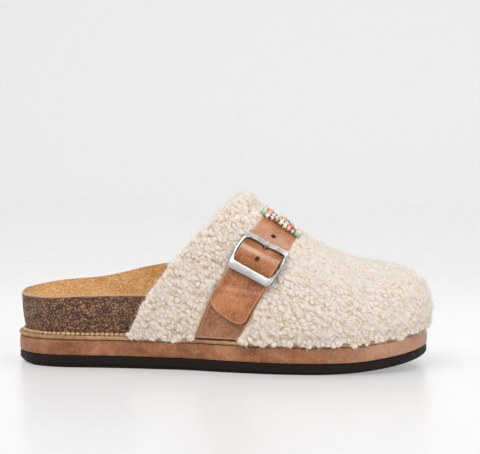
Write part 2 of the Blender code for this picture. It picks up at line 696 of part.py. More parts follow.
def build():
    for old in list(bpy.data.objects):
        bpy.data.objects.remove(old, do_unlink=True)
    clog = bpy.data.collections.new("fleece_clog")
    cutters = bpy.data.collections.new("cutters")
    for collection in (clog, cutters):
        bpy.context.scene.collection.children.link(collection)
    cutters.hide_render = True

    rubber = new_material("black_rubber", (0.012, 0.012, 0.013), 0.55)
    wrap = new_material("tan_wrap_leather", (0.42, 0.21, 0.09), 0.5)
    trim = new_material("beige_welt", (0.5, 0.39, 0.26), 0.75)
    cork = new_material("cork", (0.16, 0.085, 0.04), 0.85)
    suede = new_material("liner_suede", (0.55, 0.32, 0.13), 0.9)
    fleece = new_material("cream_fleece", (0.8, 0.7, 0.57), 0.95)
    leather = new_material("strap_leather", (0.45, 0.2, 0.09), 0.45)
    metal = new_material("brushed_metal", (0.6, 0.6, 0.58), 0.35, 1.0)
    glass = new_material("bead_glass", (0.6, 0.35, 0.4), 0.2)

    outsole = plate(
        "outsole",
        (
            (1.2, layer(0.0)),
            (0.6, layer(0.6)),
            (0.6, layer(BAND_HEIGHT - 0.5)),
            (1.0, layer(BAND_HEIGHT)),
        ),
        rubber,
        clog,
    )
    combine(outsole, tread_pad(rubber, cutters), "UNION")
    plate(
        "midsole",
        (
            (1.6, layer(BAND_HEIGHT + CLEARANCE)),
            (0.8, layer(BAND_HEIGHT + 1.1)),
            (0.6, layer(MIDSOLE_TOP - 1.1)),
            (1.0, layer(MIDSOLE_TOP)),
        ),
        wrap,
        clog,
    )
    section = (
        (0.4, layer(WELT_BOTTOM)),
        (0.0, layer(WELT_TOP)),
        (2.3, layer(WELT_TOP)),
        (2.6, rib_top),
        (3.9, rib_top),
        (4.2, layer(WELT_TOP)),
        (WELT_INNER, layer(WELT_TOP)),
        (WELT_INNER, layer(WELT_BOTTOM)),
    )
    loops = [outline_loop(constant(inset), height) for inset, height in section]
    add_part("welt", np.vstack(loops), bands(len(loops[0]), len(loops), wrap=True), trim, clog)
    footbed_part(cork, clog)
    insole_part(suede, clog)
    upper_part(fleece, clog)

    strap_part("strap_base", (BASE_REAR, 0.5, BASE_FRONT), base_profile, leather, clog)
    widths = TOP_REAR + (TOP_FRONT - TOP_REAR) * np.array((0, 0.02, 0.12, 0.35, 0.65, 0.88, 0.98, 1))
    strap_top = strap_part("strap_top", widths, top_profile, leather, clog)
    for number in range(3):
        at = HOLE_FIRST + number * HOLE_PITCH
        height = float(eased(STRAP_PATH, "height", at)) + STRAP_THICKNESS / 2
        place = strap_frame(BAR_AT + at, height, FRAME_MIDDLE)
        punch = cylinder(f"punch_{number + 1}", HOLE_RADIUS, 5.0, place, Matrix(), leather, cutters)
        combine(strap_top, punch, "DIFFERENCE")
    buckle_part(metal, clog, cutters)
    prong_part(metal, clog)
    for index, length in enumerate(BEAD_ROWS, 1):
        bead_row(index, length, glass, clog)


build()
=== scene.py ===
# %% [markdown]
# # A backless fleece clog
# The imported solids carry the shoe's true shape. This script dresses them: each piece is built again from
# the same few tables, but finely enough to show pile, grain, cork, stitches and brushed metal. Lengths in
# the tables are millimetres: along the shoe from its heel end, across it, and up from the floor.

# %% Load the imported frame
import math

import bmesh
import bpy
import numpy as np
from mathutils import Matrix, Vector


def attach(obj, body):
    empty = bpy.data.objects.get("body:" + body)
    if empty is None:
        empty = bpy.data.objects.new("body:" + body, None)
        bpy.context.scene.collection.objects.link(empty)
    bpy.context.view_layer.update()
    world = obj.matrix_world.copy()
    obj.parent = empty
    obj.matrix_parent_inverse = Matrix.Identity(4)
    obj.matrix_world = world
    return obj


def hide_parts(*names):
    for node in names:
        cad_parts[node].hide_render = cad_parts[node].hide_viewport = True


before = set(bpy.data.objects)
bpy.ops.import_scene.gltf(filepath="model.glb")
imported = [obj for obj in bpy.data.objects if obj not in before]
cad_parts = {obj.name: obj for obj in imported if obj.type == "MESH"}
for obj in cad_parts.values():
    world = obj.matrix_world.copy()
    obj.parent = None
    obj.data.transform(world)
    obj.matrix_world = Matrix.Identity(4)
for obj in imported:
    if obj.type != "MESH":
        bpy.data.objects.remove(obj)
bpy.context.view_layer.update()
MM = 0.001
CLEARANCE = 0.3
ORIGIN = np.array((132.83, 0.58, 0.0))
scene = bpy.context.scene
print("frame nodes:", ", ".join(sorted(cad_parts)))

# %% [markdown]
# ## The shoe's tables
# A shoemaker keeps a last and a set of section gauges. Here they are tables with one row per section,
# read between rows on a smooth curve that never overshoots. One set of tables gives every layer, so that
# pieces made in different ways still meet.

# %% Section tables
SOLE_LENGTH = 262.0
HEEL_ROUND, HEEL_POWER = 40.0, 2.2
TOE_ROUND, TOE_POWER = 67.0, 2.4
MIDSOLE_TOP = 15.2
WELT_BOTTOM = MIDSOLE_TOP + CLEARANCE
WELT_TOP = 17.6
WELT_INNER = 11.0
BED_BASE = 16.4
OVERHANG, WALL, TOP_DROP = 2.8, 8.0, 1.1
TOE_STRETCH, HEM_TUCK, HEM_RISE = 200.0, 2.2, 14.0
STRAP_REAR, STRAP_FRONT = 117.3, 147.9
COLLAR_STEPS, STRAP_STEPS = 8, 6
COLLAR_FOOT = STRAP_REAR - COLLAR_STEPS * (STRAP_FRONT - STRAP_REAR) / STRAP_STEPS


def table(columns, *rows):
    """Named columns of a short table, one row for each section."""
    return dict(zip(columns.split(), np.array(rows, float).T))


OUTLINE = table(
    "along centre half",
    (0, 0.0, 37.0),
    (40, 0.0, 37.0),
    (72, -1.0, 35.6),
    (105, -2.5, 36.2),
    (140, -2.5, 43.5),
    (180, -1.0, 50.0),
    (215, 2.5, 51.0),
    (262, 9.0, 51.0),
)
PROFILE = table(
    "along tread edge",
    (0, 1.9, 2.6),
    (18, 0.0, 2.6),
    (60, 0.0, 2.6),
    (120, 0.0, 2.3),
    (192, 0.0, 1.8),
    (215, 0.8, 2.2),
    (240, 3.4, 4.6),
    (262, 7.4, 8.2),
)
FOOTBED = table(
    "along foot_inset rim_inset lateral medial seat",
    (0, 4.6, 1.9, 24.6, 24.6, 24.6),
    (8, 4.6, 1.9, 24.0, 25.8, 18.5),
    (22, 4.6, 1.9, 24.0, 27.6, 15.0),
    (45, 4.6, 1.9, 25.2, 29.6, 13.6),
    (66, 5.2, 3.0, 25.8, 34.2, 13.8),
    (76, 6.1, 4.6, 26.0, 37.0, 14.1),
    (96, 6.2, 8.0, 25.0, 40.4, 14.4),
    (115, 6.2, 10.4, 20.0, 33.0, 13.4),
    (140, 6.2, 9.4, 13.0, 19.0, 10.5),
    (175, 6.0, 7.0, 9.0, 10.5, 7.5),
    (205, 6.0, 6.5, 7.5, 8.0, 6.3),
    (235, 6.0, 6.5, 7.2, 7.4, 6.6),
    (262, 6.0, 6.5, 7.2, 7.2, 7.2),
)
VAMP = table(
    "along lean bow top ridge full",
    (COLLAR_FOOT, 38.4, 0.39, 109.6, 2.5, 2.9),
    (95, 33.6, 0.22, 106.2, 3.0, 2.8),
    (STRAP_REAR, 26.8, 0.25, 100.0, 3.5, 2.7),
    (STRAP_FRONT, 27.4, 0.25, 83.8, 4.0, 2.6),
    (170, 24.0, 0.2, 75.8, 4.5, 2.5),
    (195, 17.0, 0.0, 68.8, 5.0, 2.5),
    (220, 9.0, 0.0, 65.0, 6.0, 2.5),
    (240, 3.0, 0.0, 62.6, 7.0, 2.5),
    (255, 0.0, 0.0, 57.0, 8.0, 2.4),
    (262, 0.0, 0.0, 48.5, 8.7, 2.3),
    (SOLE_LENGTH + OVERHANG, 0.0, 0.0, 37.5, 9.0, 2.2),
)
print("table rows:", [len(rows["along"]) for rows in (OUTLINE, PROFILE, FOOTBED, VAMP)])


# %% Reading the tables
def eased(rows, column, at):
    """A column read between its rows on a smooth curve that never overshoots them."""
    x = rows["along"]
    y = rows[column]
    at = np.asarray(at, float)
    step = np.diff(x)
    slope = np.diff(y) / step
    both = slope[:-1] * slope[1:]
    total = slope[:-1] + slope[1:]
    inner = np.where(both > 0, 2 * both / np.where(both > 0, total, 1), 0)
    tangent = np.concatenate(([slope[0]], inner, [slope[-1]]))
    i = np.clip(np.searchsorted(x, at, side="right") - 1, 0, len(step) - 1)
    t = np.clip((at - x[i]) / step[i], 0, 1)
    rise = y[i + 1] - y[i]
    start = tangent[i] * step[i]
    end = tangent[i + 1] * step[i]
    return y[i] + start * t + (3 * rise - 2 * start - end) * t**2 + (start + end - 2 * rise) * t**3


def half_width(along, inset):
    """Half of the sole's width, rounded off at both ends, at this inset from its edge."""
    heel = np.clip((HEEL_ROUND - along) / (HEEL_ROUND - inset), 0, 1)
    toe = np.clip((along - SOLE_LENGTH + TOE_ROUND) / (TOE_ROUND - inset), 0, 1)
    rounding = (1 - heel**HEEL_POWER) ** (1 / HEEL_POWER) * (1 - toe**TOE_POWER) ** (1 / TOE_POWER)
    return (eased(OUTLINE, "half", along) - inset) * rounding


def edge(along, side, inset):
    """The sole's edge across the shoe; side is -1 for the lateral side and 1 for the medial."""
    return eased(OUTLINE, "centre", along) + side * half_width(along, inset)


def level(along, lift):
    """Height of a layer that follows the sole's side band, with its toe spring."""
    return eased(PROFILE, "edge", along) + lift


def upper_point(foot, girth, depth):
    """A point of the upper: its section's foot, -1 to 1 from hem over ridge to hem, and depth in the pile."""
    foot = np.asarray(foot, float)
    girth = np.asarray(girth, float)
    full = eased(VAMP, "full", foot)
    spread = np.abs(girth) ** (full / 2)
    turn = spread / (spread + (1 - np.abs(girth)) ** (full / 2)) * math.pi / 2
    climb = np.abs(np.cos(turn)) ** (2 / full) * (np.abs(girth) < 1)
    height = eased(VAMP, "top", foot) - TOP_DROP * depth
    base = level(foot, WELT_TOP + CLEARANCE)
    tuck = HEM_TUCK * np.clip(1 - (height - base) * climb / HEM_RISE, 0, 1) ** 2
    inset = depth - OVERHANG + tuck * np.clip(1 - depth / WALL, 0, 1)
    squeeze = (SOLE_LENGTH - TOE_STRETCH - inset) / (SOLE_LENGTH - TOE_STRETCH + OVERHANG)
    place = np.where(foot > TOE_STRETCH, TOE_STRETCH + (foot - TOE_STRETCH) * squeeze, foot)
    base = level(place, WELT_TOP + CLEARANCE)
    rise = (height - base) * climb
    ridge = eased(VAMP, "ridge", foot)
    hem = edge(place, np.where(girth < 0, -1, 1), inset)
    across = ridge + (hem - ridge) * np.abs(np.sin(turn)) ** (2 / full)
    bow = 1 - eased(VAMP, "bow", foot) * (1 - climb)
    along = place + np.tan(np.radians(eased(VAMP, "lean", foot))) * rise * bow
    return np.stack(np.broadcast_arrays(along, across, base + rise), axis=-1)


print("collar top", upper_point(COLLAR_FOOT, 0.0, 0.0).round(1))
print("toe", upper_point(SOLE_LENGTH, 0.0, 0.0).round(1))


# %% [markdown]
# ## Small helpers
# Every piece ends as a plain mesh at the origin, in metres, riding on the one body. Most pieces are rows of
# points joined by faces, so a few functions make those faces. Node trees, for looks and for geometry, are
# built by one short function that makes a node, sets its values and links its inputs.

# %% Mesh helpers
SHARP_EDGE = 40
WELD_DISTANCE, SLIVER = 2e-6, 1e-7


def in_frame(points):
    return (np.asarray(points, float) - ORIGIN) * MM


def grid_faces(rows, columns, first=0):
    i, j = np.indices((rows - 1, columns - 1))
    a = (first + i * columns + j).ravel()
    return np.stack((a, a + 1, a + columns + 1, a + columns), axis=1).tolist()


def ring_faces(count, loops, wrap=False):
    """Quads between neighbouring closed loops of points; wrap joins the last loop to the first."""
    near, i = np.indices((loops if wrap else loops - 1, count))
    far = (near + 1) % loops
    j = (i + 1) % count
    quads = (near * count + i, near * count + j, far * count + j, far * count + i)
    return np.stack(quads, axis=-1).reshape(-1, 4).tolist()


def end_caps(count, loops):
    """One flat face for the first loop and one for the last."""
    last = count * (loops - 1)
    return [tuple(range(count)), tuple(range(last, last + count))]


def mark_points(mesh, name, data):
    """Named numbers, or directions, kept on a mesh's points."""
    data = np.asarray(data, np.float32)
    kind, key = ("FLOAT_VECTOR", "vector") if data.ndim == 2 else ("FLOAT", "value")
    mesh.attributes.new(name, kind, "POINT").data.foreach_set(key, data.ravel())


def shade(mesh, smooth=True):
    mesh.polygons.foreach_set("use_smooth", np.full(len(mesh.polygons), smooth))


def show(name, data):
    """A new object in the scene, at the origin."""
    made = bpy.data.objects.new(name, data)
    scene.collection.objects.link(made)
    return made


def add_piece(name, points, faces, material, values=None, sharp=SHARP_EDGE):
    """A closed mesh from points in millimetres; values are named numbers kept on its points."""
    mesh = bpy.data.meshes.new(name)
    mesh.from_pydata(in_frame(points).tolist(), [], faces)
    for key, data in (values or {}).items():
        mark_points(mesh, key, data)
    form = bmesh.new()
    form.from_mesh(mesh)
    bmesh.ops.remove_doubles(form, verts=form.verts, dist=WELD_DISTANCE)
    bmesh.ops.dissolve_degenerate(form, edges=form.edges, dist=SLIVER)
    bmesh.ops.recalc_face_normals(form, faces=form.faces)
    form.to_mesh(mesh)
    form.free()
    shade(mesh)
    mesh.set_sharp_from_angle(angle=math.radians(sharp))
    mesh.materials.append(material)
    return show(name, mesh)


def add_ring(name, loops, material, values=None, sharp=SHARP_EDGE):
    """A closed section swept round: each loop is joined to the next, and the last to the first."""
    faces = ring_faces(len(loops[0]), len(loops), wrap=True)
    return add_piece(name, np.vstack(loops), faces, material, values, sharp)


def settle(piece, slot, *nodes):
    """Hands a finished piece to the frame: it rides on the shoe and stands for these solids."""
    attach(piece, "root")
    if nodes:
        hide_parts(*nodes)
    piece.data.calc_loop_triangles()
    print(f"{piece.name}: {len(piece.data.loop_triangles)} triangles")
    return piece


# %% Node helpers
def put(tree, kind, settings=None, inputs=None):
    """A node with its settings; an input given as a socket is linked, and any other value is set."""
    node = tree.nodes.new(kind)
    for key, value in (settings or {}).items():
        setattr(node, key, value)
    for key, value in (inputs or {}).items():
        if isinstance(value, bpy.types.NodeSocket):
            tree.links.new(value, node.inputs[key])
        else:
            node.inputs[key].default_value = value
    return node


def math_node(tree, operation, a, b=0.0, clamp=False):
    settings = {"operation": operation, "use_clamp": clamp}
    return put(tree, "ShaderNodeMath", settings, {0: a, 1: b}).outputs[0]


def times(tree, a, b):
    return math_node(tree, "MULTIPLY", a, b)


def less(tree, a, b):
    return math_node(tree, "SUBTRACT", a, b)


def vector_node(tree, operation, a, b=(0.0, 0.0, 0.0), output=0):
    settings = {"operation": operation}
    return put(tree, "ShaderNodeVectorMath", settings, {0: a, 1: b}).outputs[output]


def scaled(tree, vector, factor):
    inputs = {0: vector, "Scale": factor}
    return put(tree, "ShaderNodeVectorMath", {"operation": "SCALE"}, inputs).outputs[0]


def map_node(tree, value, low, high, to_low=0.0, to_high=1.0, smooth=True):
    kind = "SMOOTHSTEP" if smooth else "LINEAR"
    inputs = {0: value, 1: low, 2: high, 3: to_low, 4: to_high}
    return put(tree, "ShaderNodeMapRange", {"interpolation_type": kind}, inputs).outputs[0]


def rgba(colour):
    """A colour with its alpha; a socket stays as it is."""
    return (*colour, 1.0) if isinstance(colour, tuple) else colour


def mix_node(tree, factor, a, b):
    inputs = {0: factor, 6: rgba(a), 7: rgba(b)}
    return put(tree, "ShaderNodeMix", {"data_type": "RGBA"}, inputs).outputs[2]


def layered(tree, colour, layers):
    """Colours laid over one another; each layer has the share that it covers and its colour."""
    for share, over in layers:
        colour = mix_node(tree, share, colour, over)
    return colour


def ramp_node(tree, value, stops, interpolation="EASE"):
    node = put(tree, "ShaderNodeValToRGB", None, {0: value})
    ramp = node.color_ramp
    ramp.interpolation = interpolation
    while len(ramp.elements) < len(stops):
        ramp.elements.new(0.5)
    for element, (place, colour) in zip(ramp.elements, stops):
        element.position = place
        element.color = rgba(colour)
    return node.outputs[0]


def parts_of(tree, vector):
    return put(tree, "ShaderNodeSeparateXYZ", None, {0: vector}).outputs


# %% [markdown]
# ## Shared effects
# Leather, suede, cork and rubber all need a fine relief, and all of them vary in tone over a few
# centimetres. Both effects are node groups with named inputs, built once and placed in each material with
# its own sizes, so that a change of scale stays a change of one number.

# %% Shader groups
FLOAT, COLOR = "NodeSocketFloat", "NodeSocketColor"


def effect(name, inputs, outputs):
    """An empty shader group with named inputs; returns it with its own input and output sockets."""
    tree = bpy.data.node_groups.new(name, "ShaderNodeTree")
    for label, kind, value in inputs:
        socket = tree.interface.new_socket(label, in_out="INPUT", socket_type=kind)
        socket.default_value = value
    for label, kind in outputs:
        tree.interface.new_socket(label, in_out="OUTPUT", socket_type=kind)
    return tree, put(tree, "NodeGroupInput").outputs, put(tree, "NodeGroupOutput").inputs


def object_place(tree):
    return put(tree, "ShaderNodeTexCoord").outputs["Object"]


def object_noise(tree, scale, detail=3.0, roughness=0.55, distortion=0.0, stretch=None, output=0):
    where = object_place(tree)
    if stretch is not None:
        where = put(tree, "ShaderNodeMapping", None, {"Vector": where, "Scale": stretch}).outputs[0]
    inputs = {"Vector": where, "Scale": scale, "Detail": detail, "Roughness": roughness}
    return put(tree, "ShaderNodeTexNoise", None, {**inputs, "Distortion": distortion}).outputs[output]


def make_mottle():
    """Slow change of tone: patches from rubbing and wax, with finer clouds inside them."""
    inputs = (
        ("Patch scale", FLOAT, 60.0),
        ("Dark", COLOR, (0, 0, 0, 1)),
        ("Middle", COLOR, (0.5, 0.5, 0.5, 1)),
        ("Light", COLOR, (1, 1, 1, 1)),
    )
    tree, given, out = effect("mottle", inputs, (("Colour", COLOR), ("Mask", FLOAT)))
    broad = object_noise(tree, given["Patch scale"], 4.0, 0.62, 0.6)
    colour = mix_node(tree, map_node(tree, broad, 0.34, 0.54), given["Dark"], given["Middle"])
    colour = mix_node(tree, map_node(tree, broad, 0.5, 0.72), colour, given["Light"])
    tree.links.new(colour, out["Colour"])
    tree.links.new(broad, out["Mask"])
    return tree


def make_grain():
    """Fine relief: small cells as in tanned hide, with a finer roughness over them."""
    inputs = (("Cell scale", FLOAT, 900.0), ("Fine scale", FLOAT, 2500.0), ("Fine share", FLOAT, 0.4))
    tree, given, out = effect("grain", inputs, (("Height", FLOAT), ("Crevice", FLOAT)))
    cell_inputs = {"Vector": object_place(tree), "Scale": given["Cell scale"]}
    cells = put(tree, "ShaderNodeTexVoronoi", {"feature": "DISTANCE_TO_EDGE"}, cell_inputs)
    cushion = map_node(tree, cells.outputs["Distance"], 0.0, 0.22)
    fine = times(tree, object_noise(tree, given["Fine scale"], 2.0), given["Fine share"])
    tree.links.new(math_node(tree, "ADD", cushion, fine), out["Height"])
    tree.links.new(less(tree, 1.0, cushion), out["Crevice"])
    return tree


MOTTLE = make_mottle()
GRAIN = make_grain()
print("shared effects:", MOTTLE.name, GRAIN.name)


# %% Material helpers
def new_material(name, **constants):
    """A material with a Principled shader; constants such as Sheen_Weight are set on its own sockets."""
    material = bpy.data.materials.new(name)
    material.use_nodes = True
    tree = material.node_tree
    shader = tree.nodes["Principled BSDF"]
    for key, value in constants.items():
        shader.inputs[key.replace("_", " ")].default_value = value
    return material, tree, shader


def use_group(tree, group, inputs):
    node = put(tree, "ShaderNodeGroup", {"node_tree": group})
    for key, value in inputs.items():
        node.inputs[key].default_value = value
    return node.outputs


def mottled(tree, patch, dark, middle, light):
    tones = {"Dark": rgba(dark), "Middle": rgba(middle), "Light": rgba(light)}
    return use_group(tree, MOTTLE, {"Patch scale": patch, **tones})


def grained(tree, cells, fine, share):
    return use_group(tree, GRAIN, {"Cell scale": cells, "Fine scale": fine, "Fine share": share})


def surface(tree, shader, colour, roughness):
    tree.links.new(colour, shader.inputs["Base Color"])
    tree.links.new(roughness, shader.inputs["Roughness"])


def relief(tree, shader, height, distance, strength=1.0):
    inputs = {"Height": height, "Distance": distance, "Strength": strength}
    tree.links.new(put(tree, "ShaderNodeBump", None, inputs).outputs[0], shader.inputs["Normal"])


def attribute(tree, name, output="Fac"):
    return put(tree, "ShaderNodeAttribute", {"attribute_name": name}).outputs[output]


# %% [markdown]
# ## Leathers
# The midsole wrap and the strap are both vegetable-tanned hide, the strap more waxed and with more wear.
# Each takes the mottle for its tone, the grain for its relief and a sprinkle of flecks. Their cut edges are
# raw and paler, and a piece marks them on its own points as "rim", because only the piece knows where they
# are. A piece also marks on its points where a paler tone is painted on: painted highlight on the upper
# strap, over its fold and crease, which in part stands for waxed hide going pale where it is bent, and
# painted light round the wrap's toe and at the lower strap's foot.

# %% Leather materials
CUT_EDGE, PALE_PULL_AND_LIGHT_TONE = (0.7, 0.37, 0.21), (0.82, 0.57, 0.44)
FLECK_SCALE = 760.0


def leather(name, dark, middle, light, patch, rough, depth, flecks):
    material, tree, shader = new_material(name, Specular_IOR_Level=0.35, Coat_Roughness=0.25)
    tone = mottled(tree, patch, dark, middle, light)
    skin = grained(tree, 1100.0, 2600.0, 0.5)
    fleck = object_noise(tree, FLECK_SCALE, 2.0, 0.75)
    rim = attribute(tree, "rim")
    # Over the tone: grain crevices, flecks, the paler raw cut edge, and the paler tone that the piece marks
    # as painted highlight and painted light.
    layers = (
        (times(tree, skin["Crevice"], 0.25), dark),
        (map_node(tree, fleck, 0.5, 0.7, 0.0, flecks), light),
        (map_node(tree, fleck, 0.49, 0.3, 0.0, flecks), dark),
        (times(tree, rim, 0.7), CUT_EDGE),
        (attribute(tree, "pull_and_painted_light"), PALE_PULL_AND_LIGHT_TONE),
    )
    colour = layered(tree, tone["Colour"], layers)
    shine = map_node(tree, tone["Mask"], 0.3, 0.7, rough + 0.06, rough - 0.06)
    surface(tree, shader, colour, math_node(tree, "ADD", shine, times(tree, rim, 0.5)))
    tree.links.new(map_node(tree, rim, 0.0, 0.6, 0.22, 0.0), shader.inputs["Coat Weight"])
    relief(tree, shader, skin["Height"], depth)
    return material


WRAP = leather(
    "tan_wrap_leather",
    dark=(0.185, 0.06, 0.021),
    middle=(0.345, 0.131, 0.052),
    light=(0.5, 0.225, 0.1),
    patch=60.0,
    rough=0.5,
    depth=0.00006,
    flecks=0.55,
)
STRAP = leather(
    "strap_leather",
    dark=(0.3, 0.095, 0.031),
    middle=(0.435, 0.156, 0.055),
    light=(0.6, 0.268, 0.118),
    patch=70.0,
    rough=0.33,
    depth=0.00005,
    flecks=0.75,
)
# A darker, pinker copy of the strap leather for the lower layer; its darker tone is painted shade.
STRAP_SHADED = leather(
    "strap_leather_shaded",
    dark=(0.205, 0.069, 0.026),
    middle=(0.325, 0.125, 0.053),
    light=(0.5, 0.224, 0.11),
    patch=70.0,
    rough=0.45,
    depth=0.00007,
    flecks=0.8,
)
print("leathers:", WRAP.name, STRAP.name, STRAP_SHADED.name)

# %% [markdown]
# ## Welt and rubber
# The welt is a flat beige strip with a dry, fibrous surface, so its noise is stretched into strands. The
# outsole is nearly black and matt, with a warm cast in its faint shine and a little dust.


# %% Welt and rubber materials
def make_welt(name, dark, middle, light):
    material, tree, shader = new_material(name, Specular_IOR_Level=0.3)
    tone = mottled(tree, 140.0, dark, middle, light)
    strands = object_noise(tree, 900.0, 3.0, 0.6, stretch=(0.25, 0.25, 1.6))
    colour = mix_node(tree, map_node(tree, strands, 0.45, 0.75), tone["Colour"], dark)
    surface(tree, shader, colour, map_node(tree, strands, 0.2, 0.8, 0.62, 0.85))
    relief(tree, shader, strands, 0.00015)
    return material


def make_rubber():
    warm_shine = (1.0, 0.84, 0.74, 1.0)
    material, tree, shader = new_material("black_rubber", Specular_IOR_Level=0.25, Specular_Tint=warm_shine)
    dust = object_noise(tree, 260.0, 5.0, 0.7)
    dusty = map_node(tree, dust, 0.5, 0.85, 0.0, 0.5)
    colour = mix_node(tree, dusty, (0.006, 0.0043, 0.0036), (0.017, 0.0122, 0.0095))
    surface(tree, shader, colour, map_node(tree, dust, 0.3, 0.7, 0.5, 0.72))
    relief(tree, shader, grained(tree, 1300.0, 3000.0, 0.8)["Height"], 0.00005)
    return material


WELT = make_welt("beige_welt", (0.28, 0.155, 0.075), (0.45, 0.27, 0.14), (0.58, 0.39, 0.22))
STITCHING = make_welt("welt_stitching", (0.4, 0.22, 0.1), (0.62, 0.4, 0.2), (0.75, 0.54, 0.31))
RUBBER = make_rubber()
print("materials:", WELT.name, STITCHING.name, RUBBER.name)

# %% [markdown]
# ## Cork and suede
# The footbed is pressed cork: dark brown granules with golden ones scattered through them, less than a
# millimetre across. Cells of a Voronoi pattern stand for the granules, and a second noise decides which of
# them are golden. The suede liner on top has a short, sandy nap. Its cut edge is paler, and at the foot of
# that edge, where the liner meets the cork, a thin dark line is painted shade; the piece marks both on its
# own points.

# %% Cork and suede materials
GRANULE_SCALE, GRANULE_WARP = 1600.0, 0.0006
GRANULES = (
    (0.0, (0.045, 0.019, 0.013)),
    (0.4, (0.085, 0.036, 0.024)),
    (0.62, (0.2, 0.095, 0.05)),
    (0.95, (0.6, 0.35, 0.17)),
)


def swirled(tree, where, noise, reach):
    """A place shifted by a noise colour, up to half of reach each way."""
    shift = vector_node(tree, "SUBTRACT", noise, (0.5, 0.5, 0.5))
    return vector_node(tree, "ADD", where, scaled(tree, shift, reach))


def make_cork():
    material, tree, shader = new_material("cork", Specular_IOR_Level=0.35)
    warp = object_noise(tree, 900.0, 2.0, output=1)
    where = swirled(tree, object_place(tree), warp, GRANULE_WARP)
    cells = put(tree, "ShaderNodeTexVoronoi", None, {"Vector": where, "Scale": GRANULE_SCALE}).outputs
    pick = put(tree, "ShaderNodeSeparateColor", None, {0: cells["Color"]}).outputs[0]
    clump = object_noise(tree, 200.0, 3.0, 0.6)
    share = math_node(tree, "ADD", pick, map_node(tree, clump, 0.3, 0.7, -0.09, 0.11))
    core = times(tree, share, map_node(tree, cells["Distance"], 0.75, 0.35, 0.5, 1.0))
    surface(tree, shader, ramp_node(tree, core, GRANULES), map_node(tree, clump, 0.3, 0.7, 0.7, 0.55))
    relief(tree, shader, cells["Distance"], 0.00012)
    return material


def make_suede():
    nap = {"Specular_IOR_Level": 0.2, "Sheen_Weight": 0.35, "Sheen_Roughness": 0.5}
    material, tree, shader = new_material("liner_suede", **nap)
    tone = mottled(tree, 70.0, (0.53, 0.255, 0.085), (0.6, 0.305, 0.107), (0.67, 0.365, 0.14))
    sand = object_noise(tree, 820.0, 2.0, 0.75)
    rim = attribute(tree, "rim")
    # The paler cut edge, then a thin dark line of painted shade where the liner meets the cork.
    layers = (
        (map_node(tree, sand, 0.52, 0.3, 0.0, 0.95), (0.28, 0.13, 0.04)),
        (map_node(tree, sand, 0.53, 0.72, 0.0, 0.95), (0.78, 0.56, 0.3)),
        (map_node(tree, rim, 0.1, 0.5), (0.56, 0.33, 0.2)),
        (map_node(tree, rim, 0.75, 0.95), (0.12, 0.05, 0.03)),
    )
    colour = layered(tree, tone["Colour"], layers)
    surface(tree, shader, colour, map_node(tree, sand, 0.3, 0.7, 0.95, 0.8))
    relief(tree, shader, sand, 0.0003)
    return material


CORK = make_cork()
SUEDE = make_suede()
print("materials:", CORK.name, SUEDE.name)

# %% [markdown]
# ## Sole layers
# Each layer is a stack of closed outlines, set in from the sole's edge by a table of insets and heights.
# The same could be done with a bevelled extrusion, but the sole's width, height and toe spring all change
# along it, so lofting outlines keeps every layer in step. The rows follow one another at the heel and
# toe closely enough to stay round.

# %% Outlines and stacked layers
STATIONS = 110
# Places along the shoe between which the wrap is painted paler, as light on its toe, and how much.
TOE_PAINTED_LIGHT = ((195.0, 250.0), (0.0, 0.24))
# Inset from the sole's edge, and height above the side band's lower edge.
WRAP_BAND = (
    (1.7, 5.25),
    (0.95, 5.5),
    (0.6, 6.2),
    (0.4, 7.6),
    (0.32, 10.0),
    (0.4, 12.6),
    (0.6, 14.0),
    (1.0, 14.8),
    (1.8, MIDSOLE_TOP),
)


def stations(start, finish):
    """Places along the shoe, closer together at both ends."""
    return start + (finish - start) * (1 - np.cos(np.linspace(0, math.pi, STATIONS + 1))) / 2


def outline_loop(inset, height):
    """Closed outline: heel end, lateral edge to the toe end, and back along the medial edge."""
    along = stations(float(inset(0.0)), SOLE_LENGTH - float(inset(SOLE_LENGTH)))
    sides = [np.column_stack((along, edge(along, s, inset(along)), height(along, s))) for s in (-1, 1)]
    return np.vstack((sides[0], sides[1][-2:0:-1]))


def lid(count, loop):
    """Strips across a closed outline, from its lateral edge to its medial edge."""
    rows = [(k, k + 1, count - k - 1, (count - k) % count) for k in range(count // 2)]
    return [tuple(dict.fromkeys(loop * count + i for i in row)) for row in rows]


def steady(value):
    return lambda along: np.full_like(np.asarray(along, float), value)


def at_lift(lift):
    return lambda along, side: level(along, lift)


def tread_lift(lift):
    return lambda along, side: eased(PROFILE, "tread", along) + lift


def sole_layer(name, levels, material):
    """A solid layer; its leather is painted paler round the toe, as light falling there."""
    loops = [outline_loop(steady(inset), at_lift(lift)) for inset, lift in levels]
    count = len(loops[0])
    faces = ring_faces(count, len(loops)) + lid(count, 0) + lid(count, len(loops) - 1)
    points = np.vstack(loops)
    return add_piece(name, points, faces, material, {"pull_and_painted_light": np.interp(points[:, 0], *TOE_PAINTED_LIGHT)})


settle(sole_layer("midsole_wrap", WRAP_BAND, WRAP), "tan_wrap_leather", "midsole")

# %% [markdown]
# ## Growing pieces with Geometry Nodes
# Teeth, stitches, tufts, fibres and beads are small shapes repeated many times. Each kind has a geometry
# tree with named inputs and a fixed seed. A tree runs as a modifier on a carrier, which is a line or a
# mesh; its result is kept as a plain mesh, and the carrier is removed.


